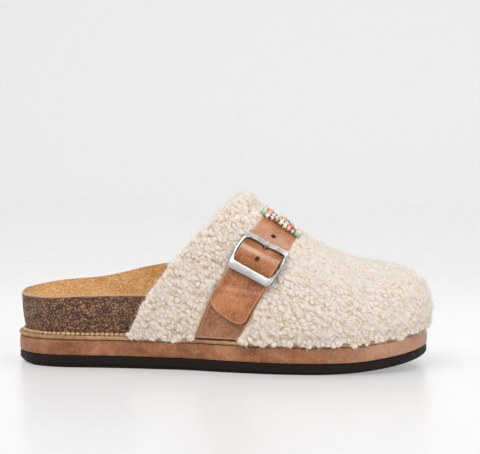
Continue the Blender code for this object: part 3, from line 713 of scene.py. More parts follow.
# %% Node trees that grow pieces
def grow_tree(name, inputs):
    """An empty geometry tree with named inputs; returns it with its own input and output sockets."""
    tree = bpy.data.node_groups.new(name, "GeometryNodeTree")
    tree.interface.new_socket("Geometry", in_out="INPUT", socket_type="NodeSocketGeometry")
    for label, kind in inputs:
        tree.interface.new_socket(label, in_out="INPUT", socket_type="NodeSocket" + kind)
    tree.interface.new_socket("Material", in_out="INPUT", socket_type="NodeSocketMaterial")
    tree.interface.new_socket("Geometry", in_out="OUTPUT", socket_type="NodeSocketGeometry")
    return tree, put(tree, "NodeGroupInput").outputs, put(tree, "NodeGroupOutput").inputs


def close_tree(tree, geometry, given, out):
    """Ends a tree: instances become real mesh and take the tree's material."""
    real = put(tree, "GeometryNodeRealizeInstances", None, {0: geometry}).outputs[0]
    inputs = {"Geometry": real, "Material": given["Material"]}
    tree.links.new(put(tree, "GeometryNodeSetMaterial", None, inputs).outputs[0], out[0])
    return tree


def applied_mesh(piece):
    """A plain mesh of what a piece shows with its modifiers."""
    bpy.context.view_layer.update()
    shown = piece.evaluated_get(bpy.context.evaluated_depsgraph_get())
    return bpy.data.meshes.new_from_object(shown)


def grow(name, carrier, tree, values):
    """Runs a tree on a carrier mesh and keeps the result as a plain mesh."""
    holder = show(name + "_carrier", carrier)
    modifier = holder.modifiers.new("grow", "NODES")
    modifier.node_group = tree
    for item in tree.interface.items_tree:
        if item.in_out == "INPUT" and item.name in values:
            modifier[item.identifier] = values[item.name]
    mesh = applied_mesh(holder)
    bpy.data.objects.remove(holder, do_unlink=True)
    shade(mesh)
    return show(name, mesh)


def path_mesh(name, points, values=None):
    """A line of points as a mesh of edges, with named numbers on its points."""
    mesh = bpy.data.meshes.new(name)
    mesh.from_pydata(in_frame(points).tolist(), [(i, i + 1) for i in range(len(points) - 1)], [])
    for key, data in (values or {}).items():
        mark_points(mesh, key, data)
    return mesh


def shape_object(name, points, faces):
    """A small shape for instancing, in metres, kept out of the scene."""
    mesh = bpy.data.meshes.new(name)
    mesh.from_pydata((np.asarray(points, float) * MM).tolist(), [], faces)
    form = bmesh.new()
    form.from_mesh(mesh)
    bmesh.ops.recalc_face_normals(form, faces=form.faces)
    form.to_mesh(mesh)
    form.free()
    return bpy.data.objects.new(name, mesh)


# %% Parts that the trees share
UPRIGHT = {"axis": "X", "pivot_axis": "Z"}


def random_number(tree, low, high, seed):
    inputs = {2: low, 3: high, 8: seed}
    return put(tree, "FunctionNodeRandomValue", {"data_type": "FLOAT"}, inputs).outputs[1]


def random_vector(tree, low, high, seed):
    inputs = {0: low, 1: high, 8: seed}
    return put(tree, "FunctionNodeRandomValue", {"data_type": "FLOAT_VECTOR"}, inputs).outputs[0]


def xyz(tree, x=0.0, y=0.0, z=0.0):
    return put(tree, "ShaderNodeCombineXYZ", None, {0: x, 1: y, 2: z}).outputs[0]


def named(tree, name, kind="FLOAT"):
    """A named number, or direction, that the carrier keeps on its points."""
    return put(tree, "GeometryNodeInputNamedAttribute", {"data_type": kind}, {0: name}).outputs[0]


def store(tree, geometry, name, value, kind="FLOAT", domain="POINT"):
    settings = {"data_type": kind, "domain": domain}
    inputs = {"Geometry": geometry, "Name": name, "Value": value}
    return put(tree, "GeometryNodeStoreNamedAttribute", settings, inputs).outputs[0]


def moved(tree, geometry, offset):
    inputs = {"Geometry": geometry, "Offset": offset}
    return put(tree, "GeometryNodeSetPosition", None, inputs).outputs[0]


def carrier_line(tree, given):
    return put(tree, "GeometryNodeMeshToCurve", None, {0: given["Geometry"]}).outputs[0]


def spaced_points(tree, given):
    """Points along the carrier's line, one Pitch apart."""
    inputs = {0: carrier_line(tree, given), "Length": given["Pitch"]}
    return put(tree, "GeometryNodeResampleCurve", {"mode": "LENGTH"}, inputs).outputs[0]


def along_line(tree, settings):
    """A turn that lays one axis of a shape along the line."""
    tangent = put(tree, "GeometryNodeInputTangent").outputs[0]
    return put(tree, "FunctionNodeAlignRotationToVector", settings, {"Vector": tangent}).outputs[0]


def copies_on(tree, given, points, turn, tilt, scale):
    """The tree's Shape on each point: turned, then tilted in its own axes, and scaled."""
    local = {"rotation_space": "LOCAL"}
    own = put(tree, "FunctionNodeRotateRotation", local, {0: turn, 1: tilt}).outputs[0]
    shape = put(tree, "GeometryNodeObjectInfo", None, {0: given["Shape"]}).outputs["Geometry"]
    inputs = {"Points": points, "Instance": shape, "Rotation": own, "Scale": scale}
    return put(tree, "GeometryNodeInstanceOnPoints", None, inputs).outputs[0]


# %% A row of one shape along a path
def make_row_tree():
    """One shape repeated along a line at an even pitch, its X along the line and its Z up."""
    inputs = (
        ("Pitch", "Float"),
        ("Shape", "Object"),
        ("Slant", "Float"),
        ("Jitter", "Float"),
        ("Seed", "Int"),
    )
    tree, given, out = grow_tree("row_along_path", inputs)
    smallest = less(tree, 1.0, given["Jitter"])
    largest = math_node(tree, "ADD", 1.0, given["Jitter"])
    size = random_number(tree, smallest, largest, given["Seed"])
    scale = xyz(tree, size, size, times(tree, size, named(tree, "size")))
    slant = xyz(tree, z=given["Slant"])
    turn = along_line(tree, UPRIGHT)
    copies = copies_on(tree, given, spaced_points(tree, given), turn, slant, scale)
    return close_tree(tree, copies, given, out)


ROW = make_row_tree()


def add_row(name, line, size, shape, pitch, material, jitter, seed, slant=0.0):
    """One shape in a row along a line; size scales its height, for all of the line or point by point."""
    carrier = path_mesh(name + "_line", line, {"size": np.broadcast_to(size, len(line))})
    values = {"Pitch": pitch * MM, "Shape": shape, "Slant": slant, "Jitter": jitter, "Seed": seed}
    return grow(name, carrier, ROW, {**values, "Material": material})


print("row tree:", len(ROW.nodes), "nodes")

# %% [markdown]
# ## Outsole
# The rubber is one moulding: a plain band round its side, and below it a narrower tread with fine
# teeth along its edge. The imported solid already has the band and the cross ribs, so it stays and only takes
# the rubber finish. A thin wall closes the tread all round, because the gaps between the ribs would
# let light through from the side. The teeth are one small wedge, repeated along the tread's edge.

# %% Outsole finish, tread wall and teeth
TREAD_WALL = (
    (3.3, tread_lift(0.05)),
    (2.6, tread_lift(0.05)),
    (2.3, tread_lift(0.35)),
    (2.2, at_lift(0.3)),
    (3.3, at_lift(0.3)),
)
TEETH_REACH, TOOTH_INSET, TOOTH_PITCH, FULL_ROOM = (14.0, 246.0), 1.8, 4.0, 2.2
TOOTH_TOP = [(-1.5, -0.6, 0.3), (1.5, -0.6, 0.3), (1.5, 0.6, 0.3), (-1.5, 0.6, 0.3)]
TOOTH_TIP = [(-0.6, -0.4, -1.1), (0.6, -0.4, -1.1), (0.6, 0.6, -1.1), (-0.6, 0.6, -1.1)]

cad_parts["outsole"].data.materials.clear()
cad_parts["outsole"].data.materials.append(RUBBER)

loops = [outline_loop(steady(inset), height) for inset, height in TREAD_WALL]
settle(add_ring("tread_wall", loops, RUBBER), "black_rubber")

tooth = shape_object("tooth", TOOTH_TOP + TOOTH_TIP, end_caps(4, 2) + ring_faces(4, 2))
for side, label in ((-1, "lateral"), (1, "medial")):
    along = np.linspace(*TEETH_REACH, 160)
    room = level(along, 0.0) - eased(PROFILE, "tread", along)
    line = np.column_stack((along, edge(along, side, TOOTH_INSET), level(along, 0.1)))
    size = np.clip(room / FULL_ROOM, 0.2, 1)
    teeth = add_row(f"tread_teeth_{label}", line, size, tooth, TOOTH_PITCH, RUBBER, jitter=0.04, seed=3)
    shade(teeth.data, smooth=False)
    settle(teeth, "black_rubber")

# %% [markdown]
# ## Welt
# The welt is a flat strip that stands a little proud of the midsole. Round the bare heel it carries a raised
# row of slanted stitches that hugs the cork. The strip is a ring swept round the outline; each stitch is a
# small rounded bead, repeated along a line by the same tree as the tread's teeth.

# %% Welt strip and its stitches
WELT_RING = (
    (0.5, WELT_BOTTOM),
    (0.1, WELT_BOTTOM + 0.45),
    (0.0, WELT_BOTTOM + 1.1),
    (0.08, WELT_TOP - 0.35),
    (0.4, WELT_TOP),
    (2.3, WELT_TOP),
    (WELT_INNER, WELT_TOP),
    (WELT_INNER, WELT_BOTTOM),
)
STITCH_SIZE, STITCH_PITCH = (3.1, 2.0, 2.4), 3.1
STITCH_LAY = {"slant": 0.45, "jitter": 0.06, "seed": 5}
RIB_INSET, RIB_LIFT, RIB_END = 3.3, 0.85, 84.0
PILLOW_POWER = 0.7


def pillow(long, wide, tall, rings=5, sides=10):
    """A rounded grain, longest along X."""
    turns = [2 * math.pi * s / sides for s in range(sides)]
    around = [(s, (s + 1) % sides) for s in range(sides)]
    points = [(-long / 2, 0, 0)]
    for k in range(1, rings):
        angle = math.pi * k / rings
        reach = math.sin(angle) ** PILLOW_POWER
        x = -math.cos(angle) * long / 2
        points += [(x, math.cos(t) * wide / 2 * reach, math.sin(t) * tall / 2 * reach) for t in turns]
    points.append((long / 2, 0, 0))
    faces = [(0, 1 + s, 1 + t) for s, t in around]
    for a in range(1, 1 + (rings - 2) * sides, sides):
        faces += [(a + s, a + t, a + sides + t, a + sides + s) for s, t in around]
    last = len(points) - 1
    faces += [(last, last - sides + t, last - sides + s) for s, t in around]
    return points, faces


def heel_line(inset, lift, end):
    """A line round the heel, from the lateral side to the medial side, as far along the shoe as end."""
    loop = outline_loop(steady(inset), at_lift(lift))
    half = len(loop) // 2
    lateral = loop[: half + 1]
    medial = np.vstack((loop[half:], loop[:1]))[::-1]
    return np.vstack((lateral[lateral[:, 0] <= end][::-1], medial[medial[:, 0] <= end][1:]))


loops = [outline_loop(steady(inset), at_lift(lift)) for inset, lift in WELT_RING]
settle(add_ring("welt_strip", loops, WELT), "beige_welt", "welt")
stitch = shape_object("stitch", *pillow(*STITCH_SIZE))
rib = heel_line(RIB_INSET, WELT_TOP + RIB_LIFT, RIB_END)
stitches = add_row("welt_stitches", rib, 1.0, stitch, STITCH_PITCH, STITCHING, **STITCH_LAY)
settle(stitches, "beige_welt")

# %% [markdown]
# ## Footbed and liner
# The cork block flares from the welt to its rim, highest along the inner arch. Its top is dished under the
# foot. The suede liner is a thin sheet on that dish, rolled a little over its edge.

# %% Cork block and suede liner
CUP_POWER, CUP_COLUMNS = 2.6, 33
CORK_TENON, CORK_SWELL = WELT_INNER + 0.4, -0.7
CORK_LEVELS = (0, 0.06, 0.2, 0.4, 0.6, 0.8, 0.93, 0.985, 1)
LINER = 1.4
# Inset from the cork's rim, height above it, and the cut edge's mark: paler near 0.5, painted shade at 1.
LINER_LEVELS = (
    (0.2, CLEARANCE, 1.0),
    (0.1, 0.6, 1.0),
    (-0.05, 0.8, 0.6),
    (0.0, 1.35, 0.5),
    (0.45, CLEARANCE + LINER, 0.1),
)


def rim_inset(extra):
    return lambda along: eased(FOOTBED, "rim_inset", along) + extra


def rim_lift(lift):
    def height(along, side):
        return level(along, BED_BASE + lift) + eased(FOOTBED, "lateral" if side < 0 else "medial", along)

    return height


def dish(inset, lift):
    """The footbed's top: rows across it, dished between its lateral and medial rims."""
    along = stations(float(inset(0.0)), SOLE_LENGTH - float(inset(SOLE_LENGTH)))
    half = half_width(along, inset(along))
    share = np.sin(np.linspace(-1, 1, CUP_COLUMNS) * math.pi / 2)
    seat, lateral, medial = (eased(FOOTBED, key, along)[:, None] for key in ("seat", "lateral", "medial"))
    up = seat + (lateral - seat) * np.clip(-share, 0, 1) ** CUP_POWER
    up = up + (medial - seat) * np.clip(share, 0, 1) ** CUP_POWER
    up = up + level(along, BED_BASE + lift)[:, None]
    across = eased(OUTLINE, "centre", along)[:, None] + half[:, None] * share
    grid = np.stack((np.broadcast_to(along[:, None], up.shape), across, up), axis=2)
    for end in (0, -1):
        grid[end] = (along[end], across[end, 0], rim_lift(lift)(along[end], -1))
    return grid


def flare(share):
    """An outline part way up the cork's side, which swells a little between welt and rim."""
    swell = CORK_SWELL * math.sin(math.pi * share)

    def inset(along):
        low, high = eased(FOOTBED, "foot_inset", along), eased(FOOTBED, "rim_inset", along)
        return low + (high - low) * share + swell

    def height(along, side):
        low = level(along, WELT_TOP + CLEARANCE)
        return low + (rim_lift(0.0)(along, side) - low) * share

    return outline_loop(inset, height)


def dished(loops, tops, flat=False):
    """Points and faces of a stack of outlines closed by dished sheets, or flat at its bottom."""
    count = len(loops[0])
    faces = ring_faces(count, len(loops)) + (lid(count, 0) if flat else [])
    first = count * len(loops)
    for grid in tops:
        faces += grid_faces(*grid.shape[:2], first=first)
        first += grid.shape[0] * grid.shape[1]
    return np.vstack(loops + [grid.reshape(-1, 3) for grid in tops]), faces


tenon = [outline_loop(steady(CORK_TENON), at_lift(lift)) for lift in (WELT_BOTTOM, WELT_TOP + CLEARANCE)]
loops = tenon + [flare(share) for share in CORK_LEVELS]
points, faces = dished(loops, [dish(rim_inset(0.0), 0.0)], flat=True)
settle(add_piece("cork_footbed", points, faces, CORK, sharp=50), "cork", "footbed")

loops = [outline_loop(rim_inset(inset), rim_lift(lift)) for inset, lift, _ in LINER_LEVELS]
sheets = [dish(rim_inset(inset), lift) for inset, lift, _ in (LINER_LEVELS[0], LINER_LEVELS[-1])]
points, faces = dished(loops, sheets)
rim = np.zeros(len(points))
rim[: len(loops) * len(loops[0])] = np.repeat([mark for *_, mark in LINER_LEVELS], len(loops[0]))
settle(add_piece("suede_liner", points, faces, SUEDE, {"rim": rim}, sharp=60), "liner_suede", "insole")

# %% [markdown]
# ## The strap's surface
# The strap lies in a trench that it presses into the pile, so its surface is needed before the fleece. A
# point on it has a place across the strap, a length from the ridge and a height above the pressed pile. One
# short table gives the height of the upper layer along the strap, and two give its layers' cut edges.
# Lengths in these tables are counted from the buckle's bar.

# %% Strap surface
STRAP_BED, STRAP_THICKNESS, STRAP_FOOT_GAP = 2.9, 1.8, 1.2
STRAP_SKEW, SKEW_REACH, SKEW_POWER = 6.0, 66.0, 0.6
BAR_AT = -47.5
FRAME_HALF_LENGTH, FRAME_MIDDLE, FRAME_SLANT = 10.4, 0.58, 3.1
SPREAD_OUTER = BAR_AT - FRAME_HALF_LENGTH
SPREAD_INNER = 15.0
EDGE_SAMPLES = 800
STRAP_PATH = table(
    "along height",
    (-60.0, 2.1),
    (-17.0, 2.1),
    (-14.0, 2.2),
    (-11.0, 2.7),
    (-8.0, 3.8),
    (-6.0, 4.8),
    (-3.0, 6.3),
    (0.0, 6.8),
    (2.5, 6.0),
    (4.0, 4.6),
    (6.0, 2.8),
    (7.5, 1.9),
    (9.0, 1.4),
    (12.0, 1.2),
    (17.0, 0.3),
    (20.0, 0.0),
    (180.0, 0.0),
)
TOP_EDGES = table(
    "along rear front",
    (-40.0, 0.0, 0.965),
    (-30.0, 0.015, 0.98),
    (-21.5, 0.07, 1.006),
    (-11.5, 0.103, 1.028),
    (0.0, 0.107, 1.035),
    (23.0, 0.11, 1.035),
    (40.0, 0.085, 1.0),
    (70.0, 0.06, 0.96),
    (180.0, 0.06, 0.96),
)
BASE_EDGES = table(
    "along rear front",
    (-60.0, 0.08, 0.98),
    (-50.5, 0.08, 0.985),
    (-41.0, 0.08, 1.015),
    (-30.0, 0.068, 1.045),
    (-9.0, 0.11, 1.05),
    (10.0, 0.12, 1.028),
)


def walked(line):
    """Distance along a line of points, from its first point to each."""
    return np.concatenate(([0], np.cumsum(np.linalg.norm(np.diff(line, axis=0), axis=1))))


def edge_lengths(foot):
    """Girths round one section of the upper, and the length from the ridge at each."""
    girth = np.linspace(-1, 1, EDGE_SAMPLES + 1)
    length = walked(upper_point(foot, girth, STRAP_BED))
    return girth, length - length[EDGE_SAMPLES // 2]


EDGES = {foot: edge_lengths(foot) for foot in (STRAP_REAR, STRAP_FRONT)}
FOOT_OUTER = min(-EDGES[foot][1][0] for foot in EDGES) - STRAP_FOOT_GAP
FOOT_INNER = min(EDGES[foot][1][-1] for foot in EDGES) - STRAP_FOOT_GAP


def strap_point(width, length, height):
    """A point on the strap: width 0 at its rear edge and 1 at its front edge, length from the ridge."""
    length = np.asarray(length, float)
    depth = STRAP_BED - np.asarray(height, float)
    ends = []
    for foot, skew in ((STRAP_REAR, 0.0), (STRAP_FRONT, STRAP_SKEW)):
        girth, lengths = EDGES[foot]
        start = SPREAD_OUTER - skew
        outer = (-lengths[0] - STRAP_FOOT_GAP + start) / (FOOT_OUTER + SPREAD_OUTER)
        inner = (lengths[-1] - STRAP_FOOT_GAP - SPREAD_INNER) / (FOOT_INNER - SPREAD_INNER)
        at = length - skew * np.clip(-length / SKEW_REACH, 0, 1) ** SKEW_POWER
        at = np.where(length < SPREAD_OUTER, start + (length - SPREAD_OUTER) * outer, at)
        at = np.where(at > SPREAD_INNER, SPREAD_INNER + (at - SPREAD_INNER) * inner, at)
        ends.append(upper_point(foot, np.interp(at, lengths, girth), depth))
    return ends[0] + (ends[1] - ends[0]) * np.asarray(width, float)[..., None]


def bar_line(width):
    """Length of the buckle's bar, which lies a little askew on the strap."""
    return BAR_AT + FRAME_SLANT * (np.asarray(width, float) - FRAME_MIDDLE)


ACROSS_STRAP = strap_point(1.0, BAR_AT, 0.0) - strap_point(0.0, BAR_AT, 0.0)
STRAP_WIDTH = np.linalg.norm(ACROSS_STRAP)
print("strap width at the buckle", round(float(STRAP_WIDTH), 1), "mm")

# %% [markdown]
# ## Fleece
# The upper is sheepskin with the wool outside: thousands of small curls a few millimetres across, cream at
# their tips and tan where light hardly reaches. Hair particles would take millions of strands, so the pile is
# a fine wall that Geometry Nodes raises into curls: soft domes of a warped Voronoi pattern, with smaller ones
# over them and creases that deepen and fade. The tree also writes how near each point is to a tip and where
# it lies in the pattern, and the material reads both, so that the shade it paints into its creases falls into
# the real ones. That painted shade is darkest below each lock, as under a light from above. On top of the toe
# the locks are flatter, their painted crease shade is fainter, and a greyer tone is painted over them as
# shade.

# %% Fleece material
# The way from a lock's middle to its shaded side, in the turned pattern of the locks.
LOCK_DOWN = (0.5, 0.0, -0.867)
TOE_TOP_AHEAD, TOE_TOP_UPWARD = (0.01, 0.05), (0.3, 0.85)
# On the up-facing toe top: the share of crease shade and lock height that is kept, and how much of a greyer
# tone is painted on as shade.
TOE_TOP_KEPT, TOE_TOP_SHADE_SHARE, TOE_TOP_SHADE_TONE = 0.78, 0.5, (0.68, 0.64, 0.6)


def lock_cells(tree, where, scale, feature, **values):
    inputs = {"Vector": where, "Scale": scale, **values}
    return put(tree, "ShaderNodeTexVoronoi", {"feature": feature}, inputs).outputs["Distance"]


def soft_noise(tree, where, scale, output=0):
    inputs = {"Vector": where, "Scale": scale, "Detail": 1.0}
    return put(tree, "ShaderNodeTexNoise", None, inputs).outputs[output]


def crease_depth(tree, where):
    """How deep the creases run here: some locks stand apart and others have grown together."""
    return map_node(tree, soft_noise(tree, where, 0.9), 0.36, 0.6, 0.25, 1.0)


def upward_toe_share(tree, where, outward):
    """Up to 1 where the pile faces up toward the toe: there its locks are flatter, its painted crease shade
    fainter, and a greyer tone is painted on as shade.
    """
    ahead = map_node(tree, parts_of(tree, where)[0], *TOE_TOP_AHEAD)
    return times(tree, ahead, map_node(tree, parts_of(tree, outward)[2], *TOE_TOP_UPWARD))


def less_on_toe_top(tree, value, lit_share):
    """A depth or a height, less where the pile faces up toward the toe."""
    return times(tree, value, map_node(tree, lit_share, 0.0, 1.0, 1.0, TOE_TOP_KEPT, smooth=False))


def crease_line(tree, lock, where, lit_share):
    """How much painted shade a crease gets here: darkest below its lock, as under a light from above, fainter
    toward the toe and on the up-facing toe top.
    """
    gap = lock_cells(tree, lock, 1.0, "DISTANCE_TO_EDGE")
    line = times(tree, map_node(tree, gap, 0.2, 0.02), crease_depth(tree, lock))
    middle = put(tree, "ShaderNodeTexVoronoi", None, {"Vector": lock, "Scale": 1.0}).outputs["Position"]
    aside = vector_node(tree, "SUBTRACT", lock, middle)
    below = vector_node(tree, "DOT_PRODUCT", aside, LOCK_DOWN, "Value")
    line = times(tree, line, map_node(tree, below, -0.15, 0.3, 0.25, 1.0))
    line = times(tree, line, map_node(tree, parts_of(tree, where)[0], 0.02, 0.1, 1.0, 0.7))
    return less_on_toe_top(tree, line, lit_share)


def make_fleece(name, crevice, low, body, tip, scatter):
    """Wool: scatter is how far light runs in it, in metres for red, green and blue."""
    nap = {"Sheen_Weight": 0.08, "Sheen_Roughness": 0.6, "Sheen_Tint": (1.0, 0.88, 0.74, 1.0)}
    glow = {"Subsurface_Weight": 0.6, "Subsurface_Radius": scatter, "Subsurface_Scale": 1.0}
    material, tree, shader = new_material(name, Specular_IOR_Level=0.08, **nap, **glow)
    where = object_place(tree)
    lit_share = upward_toe_share(tree, where, attribute(tree, "out", "Vector"))
    line = crease_line(tree, attribute(tree, "lock", "Vector"), where, lit_share)
    strand = object_noise(tree, 1500.0, 3.0, 0.7, 1.2)
    drift = object_noise(tree, 45.0, 2.0)
    height = math_node(tree, "ADD", attribute(tree, "tip"), map_node(tree, strand, 0.25, 0.75, -0.12, 0.12))
    colour = ramp_node(tree, height, ((0.0, low), (0.4, body), (0.9, tip)))
    layers = (
        (map_node(tree, drift, 0.35, 0.7, 0.0, 0.2), body),
        # A greyer tone painted as shade on the up-facing toe top.
        (times(tree, lit_share, TOE_TOP_SHADE_SHARE), TOE_TOP_SHADE_TONE),
        # Painted shade in the creases.
        (line, crevice),
        # Painted shade beside the strap, where the pile is pressed flat and has no loft.
        (map_node(tree, attribute(tree, "loft"), 0.3, 0.0, 0.0, 0.6), crevice),
    )
    colour = layered(tree, colour, layers)
    surface(tree, shader, colour, map_node(tree, strand, 0.2, 0.8, 0.95, 0.75))
    relief(tree, shader, strand, 0.0004, 0.28)
    return material


FLEECE = make_fleece(
    "cream_fleece",
    crevice=(0.51, 0.295, 0.125),
    low=(0.745, 0.62, 0.505),
    body=(0.784, 0.702, 0.62),
    tip=(0.81, 0.755, 0.697),
    scatter=(0.0026, 0.0022, 0.0018),
)
# A paler copy of the fleece: painted light for the hem tufts, which face down.
LIT_HEM_FLEECE = make_fleece(
    "hem_fleece_painted_light",
    crevice=(0.6, 0.37, 0.18),
    low=(0.83, 0.69, 0.56),
    body=(0.87, 0.775, 0.68),
    tip=(0.885, 0.815, 0.74),
    scatter=(0.0014, 0.0014, 0.0014),
)
print("fleece materials:", FLEECE.name, LIT_HEM_FLEECE.name)

# %% The tree that raises curls
BROAD_SWIRL, FINE_SWIRL, FINE_SWIRL_SHARE = 190.0, 520.0, 0.35
LOCK_STRETCH = (0.66, 0.92, 1.18)
DOME_WIDTH, CURLS_PER_LOCK = 0.85, 2.1
DOME_SHARE, DIP_SHARE, CURL_MIDDLE, LUMP_MIDDLE = 0.45, 0.6, 0.7, 0.15
WAVE_SCALE, WAVE_HEIGHT = 90.0, 0.0026


def make_curl_tree():
    """Raises a wall along its kept outward directions into curled locks, by as much as its loft allows."""
    inputs = ("Lock size", "Lock height", "Curl share", "Swirl", "Turn")
    tree, given, out = grow_tree("raised_curls", [(label, "Float") for label in inputs])
    place = put(tree, "GeometryNodeInputPosition").outputs[0]
    outward = named(tree, "out", "FLOAT_VECTOR")
    warped = swirled(tree, place, soft_noise(tree, place, BROAD_SWIRL, 1), given["Swirl"])
    fine_reach = times(tree, given["Swirl"], FINE_SWIRL_SHARE)
    warped = swirled(tree, warped, soft_noise(tree, warped, FINE_SWIRL, 1), fine_reach)
    turn_inputs = {"Vector": warped, "Angle": given["Turn"]}
    turned = put(tree, "ShaderNodeVectorRotate", {"rotation_type": "Y_AXIS"}, turn_inputs).outputs[0]
    turned = vector_node(tree, "MULTIPLY", turned, LOCK_STRETCH)
    lock = scaled(tree, turned, math_node(tree, "DIVIDE", 1.0, given["Lock size"]))

    def domes(scale):
        away = lock_cells(tree, lock, scale, "SMOOTH_F1", Smoothness=0.4)
        share = math_node(tree, "DIVIDE", away, DOME_WIDTH, clamp=True)
        return less(tree, 1.0, times(tree, share, share))

    beside = map_node(tree, lock_cells(tree, lock, 1.0, "DISTANCE_TO_EDGE"), 0.0, 0.24)
    dip = times(tree, less(tree, 1.0, beside), crease_depth(tree, lock))
    curls = times(tree, less(tree, domes(CURLS_PER_LOCK), CURL_MIDDLE), given["Curl share"])
    lump = less(tree, times(tree, domes(1.0), DOME_SHARE), times(tree, dip, DIP_SHARE))
    lump = math_node(tree, "ADD", lump, curls)
    high = times(tree, less(tree, lump, LUMP_MIDDLE), given["Lock height"])
    high = less_on_toe_top(tree, high, upward_toe_share(tree, place, outward))
    slow = times(tree, less(tree, soft_noise(tree, place, WAVE_SCALE), 0.5), WAVE_HEIGHT)
    height = times(tree, math_node(tree, "ADD", high, slow), named(tree, "loft"))
    raised = moved(tree, given["Geometry"], scaled(tree, outward, height))
    raised = store(tree, raised, "tip", map_node(tree, lump, -0.42, 0.46, smooth=False))
    raised = store(tree, raised, "lock", lock, "FLOAT_VECTOR")
    return close_tree(tree, raised, given, out)


CURLS = make_curl_tree()
print("curl tree:", len(CURLS.nodes), "nodes")

# %% [markdown]
# ### The wall that the curls grow on
# The wall comes from the upper's own function, so it has the last's true shape and is hollow: an outer face,
# a rolled collar edge, a lining and an open underside. The strap presses the pile flat under it, so the wall
# drops there over a couple of millimetres. It is made in two pieces that meet under the strap.

# %% Fleece wall
# Distance from the strap's cut edge, below 0 under the strap, and how deep the pile is pressed there.
PRESS = ((-2.3, 3.7), (-1.5, 1.35), (0.0, 1.35), (2.2, 0.15))
LOFT_FROM, LOFT_RISE = -0.8, 2.2
LINING_DEPTH, LINING_LOFT = WALL - 0.6, 0.55
ROLL_REACH, ROLL_POWER, ROLL_TAPER = 4.2, 0.75, 0.5


def strap_side(foot, girth, column):
    """The section at which a cut edge of the strap crosses this place in the girth."""
    length = np.interp(girth, *EDGES[foot]) - BAR_AT
    choose = np.minimum if column == "rear" else np.maximum
    width = eased(TOP_EDGES, column, length)
    width = np.where(length < 0, choose(width, eased(BASE_EDGES, column, length)), width)
    return STRAP_REAR + (STRAP_FRONT - STRAP_REAR) * width


def pile_room(foot, girth):
    """Millimetres from the strap's nearest cut edge; below 0 the strap covers the pile."""
    behind = strap_side(STRAP_REAR, girth, "rear") - foot
    return np.maximum(behind, foot - strap_side(STRAP_FRONT, girth, "front"))


def facing_out(grid):
    """Outward directions of a sheet whose rows run toward the toe and whose columns run over the ridge."""
    facing = np.cross(np.gradient(grid, axis=0), np.gradient(grid, axis=1))
    return facing / np.maximum(np.linalg.norm(facing, axis=2, keepdims=True), 1e-9)


def wall_faces(rows, lips, lining, columns, stride, closed):
    """Faces of an outer sheet, a lip, a lining with fewer rows, the hems and, if closed, an end seam."""
    first_lip = rows * columns
    first_inner = first_lip + lips * columns
    faces = grid_faces(rows, columns) + grid_faces(lining, columns, first_inner)
    across = np.arange(columns)
    chain = [across, *(first_lip + k * columns + across for k in range(lips)), first_inner + across]
    seams = list(zip(chain[:-1], chain[1:]))
    if closed:
        seams.append((first_inner + (lining - 1) * columns + across, (rows - 1) * columns + across))
    for near, far in seams:
        faces += np.stack((near[:-1], near[1:], far[1:], far[:-1]), axis=1).tolist()
    for column in (0, columns - 1):
        for i in range(lining - 1):
            near = [(stride * i + k) * columns + column for k in range(stride + 1)]
            away = [first_inner + (i + 1) * columns + column, first_inner + i * columns + column]
            if i == 0:
                near = [int(row[column]) for row in chain[-2:0:-1]] + near
            faces.append((*near, *away))
    return faces


def fleece_wall(name, feet, columns, stride, rolled):
    """A wall over these sections; the collar's has a rolled edge and is closed at its far end."""
    girth = np.linspace(-1, 1, columns)
    room = pile_room(feet[:, None], girth)
    share = np.clip((room - LOFT_FROM) / LOFT_RISE, 0, 1)
    loft = share**2 * (3 - 2 * share)
    outer = upper_point(feet[:, None], girth, np.interp(room, *zip(*PRESS)))
    inner = upper_point(feet[::stride, None], girth, LINING_DEPTH)
    rows, lining = len(feet), len(inner)
    share = np.linspace(0, 1, 15 if rolled else 5)[1:-1, None, None]
    lip = outer[0] + (inner[0] - outer[0]) * share
    if rolled:
        taper = np.sin(math.pi * np.linspace(0, 1, columns)) ** ROLL_TAPER
        lip[..., 0] -= ROLL_REACH * np.sin(math.pi * share[..., 0]) ** ROLL_POWER * taper
        facing = facing_out(np.concatenate((inner[::-1], lip[::-1], outer)))
        sheets = (facing[-rows:], facing[lining:-rows][::-1], facing[:lining][::-1])
    else:
        sheets = (facing_out(outer), np.zeros_like(lip), -facing_out(inner))
    marks = (loft, np.full(lip.shape[:2], float(rolled)), np.full(inner.shape[:2], LINING_LOFT))
    faces = wall_faces(rows, len(lip), lining, columns, stride, closed=rolled)
    points = np.concatenate([sheet.reshape(-1, 3) for sheet in (outer, lip, inner)])
    values = {
        "loft": np.concatenate([mark.ravel() for mark in marks]),
        "out": np.concatenate([sheet.reshape(-1, 3) for sheet in sheets]),
    }
    return add_piece(name + "_wall", points, faces, FLEECE, values, sharp=70)


def raise_pile(name, wall, material):
    sizes = {"Lock size": 0.003, "Lock height": 0.0011, "Curl share": 0.2, "Swirl": 0.0045, "Turn": -0.8}
    piece = grow(name, wall.data, CURLS, {**sizes, "Material": material})
    bpy.data.objects.remove(wall, do_unlink=True)
    return piece


# %% Two fleece pieces
MIDDLE = (STRAP_REAR + STRAP_FRONT) / 2
TOE_FROM, TOE_TO = 233.0, SOLE_LENGTH + OVERHANG
toe_feet = TOE_FROM + (TOE_TO - TOE_FROM) * np.sin(np.linspace(0, math.pi / 2, 79)[1:])
front_feet = np.concatenate((np.linspace(MIDDLE, TOE_FROM, 163), toe_feet))
sections = {
    "fleece_collar": (np.linspace(COLLAR_FOOT, MIDDLE, 121), 421, 4, True),
    "fleece_front": (front_feet, 361, 10, False),
}
pile = {}
for name, section in sections.items():
    pile[name] = raise_pile(name, fleece_wall(name, *section), FLEECE)
    settle(pile[name], "cream_fleece", "upper")

